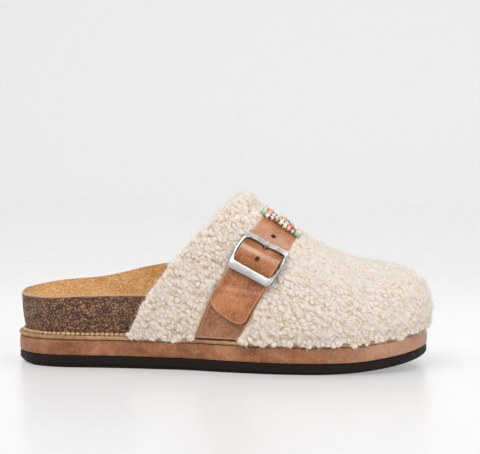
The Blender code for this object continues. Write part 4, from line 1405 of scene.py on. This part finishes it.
# %% [markdown]
# ### Tufts along the hem and loose fibres
# At the hem the curls hang over the welt in clumps of uneven length, so a row of larger tufts is grown along
# it and raised into curls by the same tree. The tufts face down, away from the lights, so they take a paler
# copy of the fleece as painted light; light runs a shorter way in it, the same for red, green and blue, which
# keeps such small shapes a little brighter and warmer. Loose fibres then stand off the whole surface and
# soften its outline: each is a thin bent ribbon on a scattered point.

# %% Hem tufts
TUFT_SIZE, TUFT_TILT = ((0.7, 0.75, 0.65), (1.3, 1.1, 1.2)), ((-0.3, -0.5, -0.4), (0.3, 0.5, 0.4))
TUFT_PITCH, TUFT_DROP, TUFT_LOFT = 0.0033, 0.0016, 0.7
HEM_CLUMP, HEM_FALL = 9.4, 0.9
HEM_GIRTH, HEM_DEPTH, HEM_LIFT = 0.985, 0.8, 1.9


def make_tuft_tree():
    """Rounded tufts along a line, uneven in size and in how far they hang."""
    inputs = (("Pitch", "Float"), ("Shape", "Object"), ("Drop", "Float"), ("Seed", "Int"))
    tree, given, out = grow_tree("tufts_along_hem", inputs)
    chance = math_node(tree, "POWER", random_number(tree, 0.0, 1.0, given["Seed"]), 1.5)
    drop = times(tree, chance, given["Drop"])
    hung = moved(tree, spaced_points(tree, given), xyz(tree, z=times(tree, drop, -1.0)))
    tilt = random_vector(tree, *TUFT_TILT, 4)
    size = random_vector(tree, *TUFT_SIZE, 9)
    copies = copies_on(tree, given, hung, along_line(tree, UPRIGHT), tilt, size)
    return close_tree(tree, copies, given, out)


TUFTS = make_tuft_tree()
tuft = shape_object("tuft", *pillow(5.2, 3.1, 5.6, 9, 16))


def hem_drop(line):
    """How far the hem hangs down here: tufts clump, so it falls and rises every centimetre or so."""
    at = walked(line[:, :2])
    drift = 1.3 * np.sin(2 * math.pi * at / (2.6 * HEM_CLUMP))
    return HEM_FALL * np.sin(2 * math.pi * at / HEM_CLUMP + drift)


def hem_line(start, finish, *sides):
    """A line along the hem of one side, or along one side and back from the toe along the other."""
    foot = np.linspace(start, finish, 400)
    lines = [upper_point(foot, side * HEM_GIRTH, np.full_like(foot, HEM_DEPTH)) for side in sides]
    line = np.vstack((lines[0], *(back[::-1][1:] for back in lines[1:])))
    line[:, 2] = level(np.clip(line[:, 0], 0, SOLE_LENGTH), WELT_TOP + HEM_LIFT) - hem_drop(line)
    return line


def add_tufts(name, line, seed):
    values = {"Pitch": TUFT_PITCH, "Shape": tuft, "Drop": TUFT_DROP, "Seed": seed, "Material": LIT_HEM_FLEECE}
    grown = grow(name + "_plain", path_mesh(name, line), TUFTS, values)
    mark_points(grown.data, "loft", np.full(len(grown.data.vertices), TUFT_LOFT))
    mark_points(grown.data, "out", [vertex.normal for vertex in grown.data.vertices])
    return raise_pile(name, grown, LIT_HEM_FLEECE)


behind_strap = (COLLAR_FOOT + 1.0, STRAP_REAR - 1.5)
hems = {
    "fleece_hem_front": hem_line(STRAP_FRONT + 1.2, TOE_TO, -1, 1),
    "fleece_hem_lateral": hem_line(*behind_strap, -1),
    "fleece_hem_medial": hem_line(*behind_strap, 1),
}
for seed, (name, line) in enumerate(hems.items(), 3):
    pile[name] = settle(add_tufts(name, line, seed), "cream_fleece")

# %% Loose fibres
FIBRE_LEAN, FIBRE_SIZE = ((-0.8, -0.8, -3.1), (0.8, 0.8, 3.1)), (0.5, 1.5)
FIBRE_DENSITY = 2600000.0
FIBRE_BEND = ((0.0, 0.0), (0.6, 0.9), (1.6, 1.4))
FIBRE_HALF_WIDTH, FIBRE_TAPER, FIBRE_ROOT = 0.06, 0.3, 0.3


def make_fibre_tree():
    """Ribbons on scattered points, where the pile is free and near its tips."""
    tree, given, out = grow_tree("loose_fibres", (("Density", "Float"), ("Shape", "Object"), ("Seed", "Int")))
    lofty = math_node(tree, "GREATER_THAN", named(tree, "loft"), 0.6)
    free = times(tree, lofty, math_node(tree, "GREATER_THAN", named(tree, "tip"), 0.55))
    inputs = {
        "Mesh": given["Geometry"],
        "Selection": free,
        "Density": given["Density"],
        "Seed": given["Seed"],
    }
    spread = put(tree, "GeometryNodeDistributePointsOnFaces", None, inputs).outputs
    lean = random_vector(tree, *FIBRE_LEAN, 2)
    size = random_number(tree, *FIBRE_SIZE, 11)
    copies = copies_on(tree, given, spread["Points"], spread["Rotation"], lean, size)
    return close_tree(tree, copies, given, out)


def make_fibre_material():
    material, tree, shader = new_material("fleece_fibre", Specular_IOR_Level=0.05)
    tone = object_noise(tree, 300.0, 2.0)
    colour = mix_node(tree, map_node(tree, tone, 0.3, 0.7), (0.782, 0.7, 0.622), (0.82, 0.764, 0.705))
    surface(tree, shader, colour, map_node(tree, tone, 0.3, 0.7, 0.75, 0.95))
    return material


FIBRES = make_fibre_tree()
FIBRE = make_fibre_material()
ribbon_points = []
for k, (x, z) in enumerate(FIBRE_BEND):
    half = FIBRE_HALF_WIDTH * (1 - FIBRE_TAPER * k)
    ribbon_points += [(x, side * half, z - FIBRE_ROOT) for side in (-1, 1)]
ribbon = shape_object("ribbon", ribbon_points, [(0, 1, 3, 2), (2, 3, 5, 4)])
for seed, (name, source) in enumerate(pile.items(), 21):
    values = {"Density": FIBRE_DENSITY, "Shape": ribbon, "Seed": seed, "Material": FIBRE}
    settle(grow(name.replace("fleece", "fibres"), source.data.copy(), FIBRES, values), "cream_fleece")

# %% [markdown]
# ## Strap
# Two layers of leather cross the instep. The lower one comes up from the outer welt and folds round the
# buckle's bar. The upper one comes over from the inner side, passes under the frame's upper bar, over the
# fold and under the lower bar, and ends in a rounded tail. Each layer is one side profile, repeated across
# the strap's width on its surface. Its points carry the cut edges, and a paler tone of painted highlight and
# painted light; in part it stands for waxed hide going pale where it is bent. The lower layer also takes a
# darker copy of the strap leather, as painted shade.

# %% Strap layers
BAR_RADIUS = 1.1
BAR_HEIGHT = STRAP_THICKNESS + CLEARANCE + BAR_RADIUS
FOLD_RADIUS = BAR_RADIUS + CLEARANCE + STRAP_THICKNESS
FOLD_LENGTH = 6.5
FLAP_OVER = ((2.6, 5.8), (5.0, 4.6), (FOLD_LENGTH, 3.8))
FLAP_UNDER = ((FOLD_LENGTH, 2.1), (4.6, 2.8), (2.0, 4.2))
TAIL_LENGTH, TAIL_SLANT, TAIL_ROUND = 36.5, 9.0, 8.0
TAIL_LIFT, TAIL_LIFTED = 0.9, 9
CREASE_AT, CREASE_SLANT, CREASE_MIDDLE = BAR_AT - 21.1, 7.0, 0.42
EDGE_ROUND, EDGE_THIN, EDGE_GAIN, RIM_WIDTH = 0.6, 0.45, 0.55, 0.9
NEAR_EDGE = np.array((0, 0.004, 0.01, 0.02, 0.04))
NEAR_TAIL = np.array((0, 0.1, 0.25, 0.5, 0.8))
FOOT_FADE, FOOT_PAINTED_LIGHT = 16, 0.07


def cut_edge(distance):
    """Share of full thickness at this distance from a cut edge, in millimetres."""
    share = np.clip(np.asarray(distance, float) / EDGE_ROUND, 0, 1)
    return EDGE_THIN + EDGE_GAIN * np.sqrt(1 - (1 - share) ** 2)


def bump(value, centre, spread):
    return np.exp(-(((value - centre) / spread) ** 2))


def bar_under(share):
    """Where the buckle's bar runs below a place across either layer."""
    return bar_line(0.1 + 0.93 * share)


def both_faces(under, over):
    """One closed profile: out along a layer's underside and back along its top."""
    return np.concatenate((under, over[::-1]))


def strap_layer(name, ring, edges, material):
    """A strap: a closed side profile of lengths, heights, edge distances and a painted paler tone, across its
    width.
    """
    shares = np.concatenate((NEAR_EDGE, np.linspace(0.07, 0.93, 27), 1 - NEAR_EDGE[::-1]))
    loops, rims, pull_and_painted_lights = [], [], []
    for share in shares:
        lengths, heights, inset, pull_and_painted_light = ring(share, min(share, 1 - share) * 0.92 * STRAP_WIDTH)
        rear, front = (eased(edges, key, lengths - BAR_AT) for key in ("rear", "front"))
        loops.append(strap_point(rear + (front - rear) * share, lengths, heights))
        rims.append(np.clip(1 - inset / RIM_WIDTH, 0, 1))
        pull_and_painted_lights.append(pull_and_painted_light)
    count = len(loops[0])
    faces = ring_faces(count, len(loops)) + end_caps(count, len(loops))
    values = {"rim": np.concatenate(rims), "pull_and_painted_light": np.concatenate(pull_and_painted_lights)}
    return add_piece(name, np.vstack(loops), faces, material, values, sharp=55)


def top_ring(share, inset):
    """The upper layer: tail, rise over the fold, and the long run to the inner welt."""
    middle = bar_under(share)
    behind, ahead = middle - 16, middle + 22
    round_off = TAIL_ROUND * (1 - max(1 - abs(2 * share - 1) ** 4, 0) ** (1 / 3))
    tail = BAR_AT - TAIL_LENGTH + round_off + TAIL_SLANT * (0.5 - share)
    spans = (
        tail + NEAR_TAIL,
        np.linspace(tail + 1.3, behind, 40),
        np.linspace(behind, ahead, 70)[1:],
        np.linspace(ahead, FOOT_INNER, 70)[1:],
    )
    lengths = np.concatenate(spans)
    crease = CREASE_AT + CREASE_SLANT * (share - CREASE_MIDDLE)
    low = eased(STRAP_PATH, "height", lengths - middle)
    low = low + 0.5 * bump(lengths, crease, 1.4) - 0.4 * bump(lengths, crease - 2.8, 1.5)
    low = low + TAIL_LIFT * np.clip((tail + TAIL_LIFTED - lengths) / TAIL_LIFTED, 0, 1) ** 2
    inset = np.minimum(inset, lengths - tail)
    centre = low + STRAP_THICKNESS / 2
    thick = STRAP_THICKNESS / 2 * cut_edge(inset)
    # Painted highlights, in part waxed hide going pale where it is bent: over the bar's fold and on the
    # tail's crease, and a broad paler patch past the frame.
    bar_highlight = 0.55 * bump(lengths, middle + 0.6, 1.5) * (0.35 + 0.65 * bump(share, 0.3, 0.4))
    crease_highlight = 0.16 * bump(lengths, crease, 0.9) * bump(share, 0.4, 0.3)
    past_frame = 0.26 * bump(lengths, middle + 18.0, 8.0) * (0.45 + 0.55 * bump(share, 0.6, 0.35))
    lit_share = bar_highlight + crease_highlight + past_frame
    heights = both_faces(centre - thick, centre + thick)
    return both_faces(lengths, lengths), heights, both_faces(inset, inset), both_faces(0 * lit_share, lit_share)


def base_ring(share, inset):
    """The lower layer: up from the outer welt, round the bar and back to a short flap."""
    at = bar_under(share)
    lengths = np.concatenate((np.linspace(-FOOT_OUTER, at - FOLD_LENGTH, 60), [at - 4]))
    mid, half = STRAP_THICKNESS / 2, STRAP_THICKNESS / 2 * float(cut_edge(inset))
    turns = np.radians(np.linspace(-90, 90, 17))
    rim, bore = FOLD_RADIUS - mid + half, FOLD_RADIUS - mid - half
    ring = [(length, mid - half) for length in lengths]
    ring += [(at + rim * math.cos(t), BAR_HEIGHT + rim * math.sin(t)) for t in turns]
    ring += [(at - back, height) for back, height in FLAP_OVER + FLAP_UNDER]
    ring += [(at + bore * math.cos(t), BAR_HEIGHT + bore * math.sin(t)) for t in turns[::-1]]
    ring += [(length, mid + half) for length in lengths[::-1]]
    lengths, heights = np.array(ring).T
    # Painted light: the lower layer is paler toward its foot, away from the shade of the tail above it.
    pale = FOOT_PAINTED_LIGHT * np.clip((FOOT_FADE - FOOT_OUTER - lengths) / FOOT_FADE, 0, 1)
    return lengths, heights, np.minimum(inset, lengths + FOOT_OUTER), pale


strap_base = strap_layer("strap_lower", base_ring, BASE_EDGES, STRAP_SHADED)
settle(strap_base, "strap_leather", "strap_base")
strap_top = strap_layer("strap_upper", top_ring, TOP_EDGES, STRAP)

# %% Holes in the upper strap
HOLES, HOLE_RADIUS, HOLE_PITCH, HOLE_FIRST = 3, 1.6, 11.65, -1.9
PUNCH_LENGTH = 5.0


def strap_frame(width, length, height):
    """Matrix on the strap: x across to its front edge, y along it to the ridge, z outward."""
    place = strap_point(width, length, height)
    across = Vector(strap_point(1.0, length, height) - strap_point(0.0, length, height)).normalized()
    along = Vector(strap_point(0.5, length + 2, height) - strap_point(0.5, length - 2, height))
    out = across.cross(along).normalized()
    along = out.cross(across).normalized()
    turn = Matrix((across, along, out)).transposed().to_4x4()
    return Matrix.Translation(Vector(in_frame(place))) @ turn


def rod(name, radius, length, matrix, segments=24):
    ends = {"radius1": radius * MM, "radius2": radius * MM, "depth": length * MM}
    form = bmesh.new()
    bmesh.ops.create_cone(form, cap_ends=True, segments=segments, **ends)
    bmesh.ops.transform(form, matrix=matrix, verts=form.verts)
    mesh = bpy.data.meshes.new(name)
    form.to_mesh(mesh)
    form.free()
    return show(name, mesh)


punches = []
for number in range(HOLES):
    at = HOLE_FIRST + number * HOLE_PITCH
    height = float(eased(STRAP_PATH, "height", at)) + STRAP_THICKNESS / 2
    through = strap_frame(FRAME_MIDDLE, BAR_AT + at, height)
    punch = rod(f"punch_{number}", HOLE_RADIUS, PUNCH_LENGTH, through)
    punches.append(punch)
    cut = strap_top.modifiers.new(punch.name, "BOOLEAN")
    cut.operation = "DIFFERENCE"
    cut.solver = "EXACT"
    cut.object = punch
punched = applied_mesh(strap_top)
strap_top.modifiers.clear()
strap_top.data = punched
for punch in punches:
    bpy.data.objects.remove(punch, do_unlink=True)
settle(strap_top, "strap_leather", "strap_top")

# %% [markdown]
# ## Buckle
# A cast frame: a flat upper bar with a notch for the pin, a broad rounded lower bar, and thin sides that bow
# outward. It is one closed section swept round a squared loop on the strap's own surface, so that it lies
# on the leather. The finish is brushed, so the metal's roughness and relief are drawn out along fine lines.
# Low on the section the metal is painted darker, as shade where light doesn't reach.


# %% Metal
def make_metal():
    material, tree, shader = new_material("brushed_metal", Metallic=1.0)
    lines = object_noise(tree, 500.0, 3.0, 0.6, stretch=(0.3, 0.3, 5.0))
    wear = object_noise(tree, 160.0, 2.0)
    colour = mix_node(tree, map_node(tree, wear, 0.3, 0.7), (0.52, 0.515, 0.51), (0.62, 0.62, 0.615))
    # Painted shade: the metal is darker low on the frame's section.
    colour = mix_node(tree, attribute(tree, "rim"), colour, (0.13, 0.125, 0.12))
    surface(tree, shader, colour, map_node(tree, lines, 0.25, 0.75, 0.24, 0.36))
    relief(tree, shader, lines, 0.00001)
    return material


METAL = make_metal()
print("metal:", METAL.name)

# %% Frame and bar
FRAME_HALF_WIDTH, FRAME_BULGE, FRAME_CORNER, FRAME_RAIL = 13.7, 0.13, 0.14, 0.6
# How much wider and thicker than the rails each bar is, and how much further out it lies.
UPPER_BAR, LOWER_BAR = (0.8, 0.0, 0.6), (1.4, 0.5, 0.2)
FRAME_BOTTOM, FRAME_TILT, RAIL_DIP = 3.7, 2.9, 2.0
FRAME_THICKNESS, RAIL_THICKER = 1.5, 1.2
NOTCH_DEPTH, NOTCH_HALF = 0.9, 1.6
SECTION_SIDES, SECTION_CORNER, FRAME_STEPS, CORNER_CROWD = 20, 0.35, 200, 0.22


def squared(value, power):
    """A sine or cosine pressed toward its ends, which squares the loop that it draws."""
    return np.sign(value) * np.abs(value) ** power


def frame_section(turn, outs, shares):
    """One section of the frame: outs run from its inner to its outer side, shares from bottom to top."""
    up = squared(math.cos(turn), FRAME_CORNER)
    side = squared(math.sin(turn), FRAME_CORNER)
    wider, thicker, further = UPPER_BAR if up > 0 else LOWER_BAR
    bar, rail = abs(up) ** 6, 1 - up * up
    half = FRAME_RAIL + bar * wider
    bottom = FRAME_BOTTOM + (1 - up) / 2 * FRAME_TILT - RAIL_DIP * rail**3
    thick = FRAME_THICKNESS + bar * thicker + RAIL_THICKER * rail
    if up > 0.9:
        thick -= NOTCH_DEPTH * math.exp(-((side * FRAME_HALF_WIDTH / NOTCH_HALF) ** 4))
    reach = (FRAME_HALF_LENGTH + further + outs * half) * up
    spread = (FRAME_HALF_WIDTH + outs * half) * side * (1 + FRAME_BULGE * rail)
    across = FRAME_MIDDLE + spread / STRAP_WIDTH
    return strap_point(across, bar_line(across) + reach, bottom + shares * thick)


even = np.linspace(0, 2 * math.pi, FRAME_STEPS + 1)[:-1]
turns = even - CORNER_CROWD * np.sin(4 * even)
angles = np.linspace(0, 2 * math.pi, SECTION_SIDES + 1)[:-1] + math.pi / SECTION_SIDES
outs = squared(np.cos(angles), SECTION_CORNER)
shares = 0.5 + 0.5 * squared(np.sin(angles), SECTION_CORNER)
loops = [frame_section(turn, outs, shares) for turn in turns]
# How much painted shade each point of the frame gets: most low on its section.
low = np.tile(1 - np.clip(shares * 1.6 - 0.35, 0, 1), len(loops))
settle(add_ring("buckle_frame", loops, METAL, {"rim": low}, sharp=70), "brushed_metal", "buckle")

sides = np.array((FRAME_MIDDLE - 0.5, FRAME_MIDDLE + 0.5))
rear, front = (Vector(end) for end in in_frame(strap_point(sides, bar_line(sides), BAR_HEIGHT)))
turn = (front - rear).to_track_quat("Z", "Y").to_matrix().to_4x4()
span = 2 * FRAME_HALF_WIDTH * (1 + FRAME_BULGE)
bar = rod("buckle_bar", BAR_RADIUS, span, Matrix.Translation((rear + front) / 2) @ turn)
bar.data.materials.append(METAL)
settle(bar, "brushed_metal")

# %% Pin
PIN_RADIUS, PIN_STEPS = 0.8, 48
PIN = table(
    "along length height",
    (0, 3.9, 2.5),
    (1, 6.5, 1.3),
    (2, 8.3, 1.5),
    (3, 8.8, 3.0),
    (4, 8.9, 5.4),
    (5, 9.3, 6.15),
    (6, 11.0, 6.25),
)


def tube(name, points, radius, material, sides=14):
    """A round wire through these points."""
    tangents = np.gradient(points, axis=0)
    tangents /= np.linalg.norm(tangents, axis=1)[:, None]
    turns = np.linspace(0, 2 * math.pi, sides + 1)[:-1, None]
    loops = []
    for place, tangent in zip(points, tangents):
        first = ACROSS_STRAP - tangent * (ACROSS_STRAP @ tangent)
        first /= np.linalg.norm(first)
        second = np.cross(tangent, first)
        loops.append(place + radius * (np.cos(turns) * first + np.sin(turns) * second))
    faces = ring_faces(sides, len(loops)) + end_caps(sides, len(loops))
    return add_piece(name, np.vstack(loops), faces, material, sharp=50)


steps = np.linspace(0, 6, PIN_STEPS + 1)
lengths, heights = (eased(PIN, column, steps) for column in ("length", "height"))
pin = strap_point(np.full(len(steps), FRAME_MIDDLE), BAR_AT + lengths, heights)
settle(tube("buckle_pin", pin, PIN_RADIUS, METAL), "brushed_metal", "prong")

# %% [markdown]
# ## Beads
# Strings of glass seed beads lie across the strap at its crest, in mixed colours. One bead is a short tube
# with rounded ends and a hole; Geometry Nodes string it along each line, turn and size each copy a little
# differently and give it a number, from which the material picks its glass. Steps of the golden ratio keep
# neighbouring numbers far apart, so that neighbours differ in colour.

# %% Bead glass and thread
GLASS_TONES = (
    (0.0, (0.74, 0.55, 0.66)),
    (0.13, (0.12, 0.026, 0.034)),
    (0.24, (0.86, 0.85, 0.8)),
    (0.43, (0.84, 0.5, 0.3)),
    (0.56, (0.8, 0.26, 0.05)),
    (0.7, (0.26, 0.6, 0.31)),
    (0.82, (0.86, 0.76, 0.46)),
    (0.91, (0.82, 0.58, 0.5)),
)


def make_glass():
    polish = {"Specular_IOR_Level": 0.6, "Coat_Weight": 0.5, "Coat_Roughness": 0.05}
    material, tree, shader = new_material("bead_glass", **polish)
    colour = ramp_node(tree, attribute(tree, "tint"), GLASS_TONES, "CONSTANT")
    cloud = object_noise(tree, 900.0, 2.0)
    colour = mix_node(tree, map_node(tree, cloud, 0.4, 0.75, 0.0, 0.25), colour, (0.9, 0.85, 0.8))
    surface(tree, shader, colour, map_node(tree, cloud, 0.3, 0.7, 0.12, 0.25))
    return material


def make_thread_material():
    material, tree, shader = new_material("bead_thread", Specular_IOR_Level=0.3)
    ply = object_noise(tree, 1800.0, 2.0)
    colour = mix_node(tree, ply, (0.05, 0.012, 0.014), (0.13, 0.04, 0.04))
    surface(tree, shader, colour, map_node(tree, ply, 0.3, 0.7, 0.5, 0.8))
    return material


GLASS = make_glass()
THREAD = make_thread_material()
print("bead materials:", GLASS.name, THREAD.name)

# %% Strings of beads
GOLDEN_STEP, ROW_STEP = 0.618, 5.0
BEAD_RADIUS, BEAD_LENGTH, BEAD_BORE, BEAD_CORNER = 1.62, 2.7, 0.5, 0.8
BEAD_LEAN, BEAD_SIZE = ((-0.8, -0.8, -3.0), (0.8, 0.8, 3.0)), (0.84, 1.14)
BEAD_ROWS, BEAD_PITCH, BEAD_SLANT = (-13.0, -9.7, -6.4, -3.1, 0.2), 3.25, 2.5
BEAD_LIFT, BEAD_BOB, BEAD_SWAY = 1.5, 0.4, 0.7
THREAD_RADIUS = 0.0006


def bead_shape(rings=10, sides=14):
    points = []
    for angle in np.linspace(0, 2 * math.pi, rings + 1)[:-1]:
        wall = (BEAD_RADIUS - BEAD_BORE) / 2 * squared(math.cos(angle), BEAD_CORNER)
        r = (BEAD_RADIUS + BEAD_BORE) / 2 + wall
        z = BEAD_LENGTH / 2 * squared(math.sin(angle), BEAD_CORNER)
        points += [(r * math.cos(t), r * math.sin(t), z) for t in np.linspace(0, 2 * math.pi, sides + 1)[:-1]]
    return points, ring_faces(sides, rings, wrap=True)


def make_bead_tree():
    """One shape strung along a line, its Z along it; each copy is given a number from 0 to 1 as its tint."""
    tree, given, out = grow_tree("strung_beads", (("Pitch", "Float"), ("Shape", "Object"), ("Seed", "Int")))
    lean = random_vector(tree, *BEAD_LEAN, given["Seed"])
    size = random_number(tree, *BEAD_SIZE, given["Seed"])
    turn = along_line(tree, {"axis": "Z"})
    copies = copies_on(tree, given, spaced_points(tree, given), turn, lean, size)
    index = put(tree, "GeometryNodeInputIndex").outputs[0]
    number = math_node(tree, "ADD", index, times(tree, given["Seed"], ROW_STEP))
    tint = math_node(tree, "FRACT", times(tree, number, GOLDEN_STEP))
    return close_tree(tree, store(tree, copies, "tint", tint, domain="INSTANCE"), given, out)


def make_thread_tree():
    """A round thread along a line."""
    tree, given, out = grow_tree("thread", (("Radius", "Float"),))
    round_inputs = {"Resolution": 8, "Radius": given["Radius"]}
    ring = put(tree, "GeometryNodeCurvePrimitiveCircle", None, round_inputs).outputs[0]
    wire_inputs = {0: carrier_line(tree, given), 1: ring, "Fill Caps": True}
    wire = put(tree, "GeometryNodeCurveToMesh", None, wire_inputs).outputs[0]
    return close_tree(tree, wire, given, out)


def slanted(length, share):
    """Length of a bead row at a place across the strap, which it crosses at a slant."""
    return length + BEAD_SLANT * (share - 0.55)


BEADS = make_bead_tree()
THREADS = make_thread_tree()
bead = shape_object("bead", *bead_shape())
share = np.linspace(0.1, 0.98, 60)
for index, length in enumerate(BEAD_ROWS, 1):
    lift = STRAP_THICKNESS + BEAD_LIFT + BEAD_BOB * np.sin(11 * share + 1.7 * index)
    sway = BEAD_SWAY * np.sin(14 * share + 2.2 * index)
    line = strap_point(share, slanted(length, share) + sway, lift)
    values = {"Pitch": BEAD_PITCH * MM, "Shape": bead, "Seed": 30 + index, "Material": GLASS}
    string = grow(f"bead_string_{index}", path_mesh(f"string_{index}", line), BEADS, values)
    settle(string, "bead_glass", f"bead_row_{index}")
    values = {"Radius": THREAD_RADIUS, "Material": THREAD}
    thread = grow(f"bead_thread_{index}", path_mesh(f"thread_{index}", line), THREADS, values)
    settle(thread, "bead_glass")

# %% [markdown]
# ### Stitches in the strap
# A dark, close row of stitches holds the strap's foot down at the welt; its grains overlap into a continuous
# dark line that also stands as painted shadow in the gap under the strap's foot. A finer row of pricks runs
# along the leather where the beads begin. Both are the row tree again, with one small grain on a line across
# the strap.

# %% Strap stitches
BELOW_FOOT, FOOT_STITCH_HEIGHT = 0.25, 1.0
BEFORE_BEADS, PRICK_DEPTH = 2.6, 0.35

prick = shape_object("prick", *pillow(1.5, 0.9, 1.5, 4, 6))
share = np.linspace(0.1, 0.97, 60)
foot_line = strap_point(share, -FOOT_OUTER - BELOW_FOOT, FOOT_STITCH_HEIGHT)
end_lengths = slanted(BEAD_ROWS[0] - BEFORE_BEADS, share)
end_line = strap_point(0.13 + 0.88 * (share - 0.1), end_lengths, STRAP_THICKNESS - PRICK_DEPTH)
# The foot's row of dark grains is partly painted shadow, for the gap under the strap's foot.
for name, line, pitch, size in (("foot_stitches", foot_line, 1.25, 1.0), ("end_pricks", end_line, 2.1, 0.6)):
    settle(add_row(name, line, size, prick, pitch, THREAD, jitter=0.25, seed=17), "strap_leather")

# %% [markdown]
# ## Floor, light and camera
# The shoe stands on a pale, slightly glossy sweep. Near the shoe the sweep glows a little of itself, which
# is painted light: it fills in the shoe's shadows, so that only faint ones are left, and the glow fades with
# distance. Two large soft lights stand in front, to the left and right, a weak one hangs above, a small one
# lies low behind the heel, and one washes the backdrop. An even grey sky does the rest. The camera stands a
# little toward the toe, as the photograph was taken.

# %% Stage
GLOW, GLOW_FADE = 0.335, (0.15, 0.65)
SWEEP_FRONT, SWEEP_BEND, SWEEP_RADIUS, SWEEP_TOP, SWEEP_HALF = -3.0, 1.2, 0.9, 3.5, 4.0
SHOE, HEEL, BACKDROP = (0, 0, 0.05), (-0.1, 0, 0.03), (0, 2.1, 0.9)
# Place and aim in metres, the two sides of the light, and its power in watts.
LIGHTS = {
    "key": ((-0.5, -0.8, 1.5), SHOE, (1.2, 0.9), 11.0),
    "top": ((0.3, 0.3, 1.6), SHOE, (1.6, 1.4), 2.0),
    "fill": ((1.3, -1.1, 0.5), SHOE, (1.0, 0.8), 9.5),
    "heel": ((-1.3, -0.1, 0.16), HEEL, (0.6, 0.25), 2.0),
    "backdrop": ((0.0, 0.7, 2.4), BACKDROP, (3.0, 0.8), 21.5),
}
SKY, SKY_STRENGTH = (0.98, 0.98, 0.98, 1.0), 0.625


def aimed(place, aim):
    """A turn that points a light or a camera at its aim, with its top upward."""
    return (Vector(aim) - Vector(place)).to_track_quat("-Z", "Y")


def make_floor_material():
    material, tree, shader = new_material("pale_floor", Specular_IOR_Level=0.35, Emission_Strength=GLOW)
    tone = object_noise(tree, 3.0, 0.0)
    # Painted light: near the shoe the floor glows and its own colour is darker, so that it is as bright there
    # as further off but fills in the shoe's shadows; both fade with distance.
    fade = map_node(tree, vector_node(tree, "LENGTH", object_place(tree), output="Value"), *GLOW_FADE)
    near = mix_node(tree, tone, (0.445, 0.445, 0.447), (0.455, 0.455, 0.457))
    colour = mix_node(tree, fade, near, (0.775, 0.775, 0.778))
    surface(tree, shader, colour, map_node(tree, tone, 0.3, 0.7, 0.27, 0.29))
    tree.links.new(mix_node(tree, fade, (1, 1, 1), (0, 0, 0)), shader.inputs["Emission Color"])
    return material


def soft_light(name, place, aim, size, energy):
    light = bpy.data.lights.new(name, "AREA")
    light.shape = "RECTANGLE"
    light.size, light.size_y = size
    light.energy = energy
    lamp = show(name, light)
    lamp.location = place
    lamp.rotation_euler = aimed(place, aim).to_euler()


bend = np.linspace(0, math.pi / 2, 17)[1:]
sweep = [(y, 0.0) for y in np.linspace(SWEEP_FRONT, SWEEP_BEND, 8)]
sweep += [(SWEEP_BEND + SWEEP_RADIUS * math.sin(t), SWEEP_RADIUS * (1 - math.cos(t))) for t in bend]
sweep += [(SWEEP_BEND + SWEEP_RADIUS, SWEEP_TOP)]
floor_points = [(x, y, z) for x in (-SWEEP_HALF, SWEEP_HALF) for y, z in sweep]
floor_mesh = bpy.data.meshes.new("floor")
floor_mesh.from_pydata(floor_points, [], [tuple(reversed(face)) for face in grid_faces(2, len(sweep))])
shade(floor_mesh)
floor_mesh.materials.append(make_floor_material())
floor = show("floor", floor_mesh)

for name, light in LIGHTS.items():
    soft_light(name, *light)
world = bpy.data.worlds.new("studio")
world.use_nodes = True
sky = world.node_tree.nodes["Background"].inputs
sky[0].default_value = SKY
sky[1].default_value = SKY_STRENGTH
scene.world = world
scene.view_settings.view_transform = "Standard"
print("lights:", ", ".join(LIGHTS))

# %% Camera
AZIMUTH = math.radians(7.0)
DISTANCE, CAMERA_HEIGHT = 1.3, 0.1954
AIM_ALONG, AIM_HEIGHT = 142.7, 0.0869
SENSOR_WIDTH, FOCAL_LENGTH = 36.0, 153.5

aim = Vector(((AIM_ALONG - ORIGIN[0]) * MM, 0.0, AIM_HEIGHT))
place = Vector((aim.x + DISTANCE * math.sin(AZIMUTH), -DISTANCE * math.cos(AZIMUTH), CAMERA_HEIGHT))
lens = bpy.data.cameras.new("camera")
lens.sensor_fit = "HORIZONTAL"
lens.sensor_width = SENSOR_WIDTH
lens.lens = FOCAL_LENGTH
camera = show("camera", lens)
camera.matrix_world = Matrix.Translation(place) @ aimed(place, aim).to_matrix().to_4x4()
scene.camera = camera
print("camera at", [round(value, 3) for value in place], "m, focal length", lens.lens, "mm")
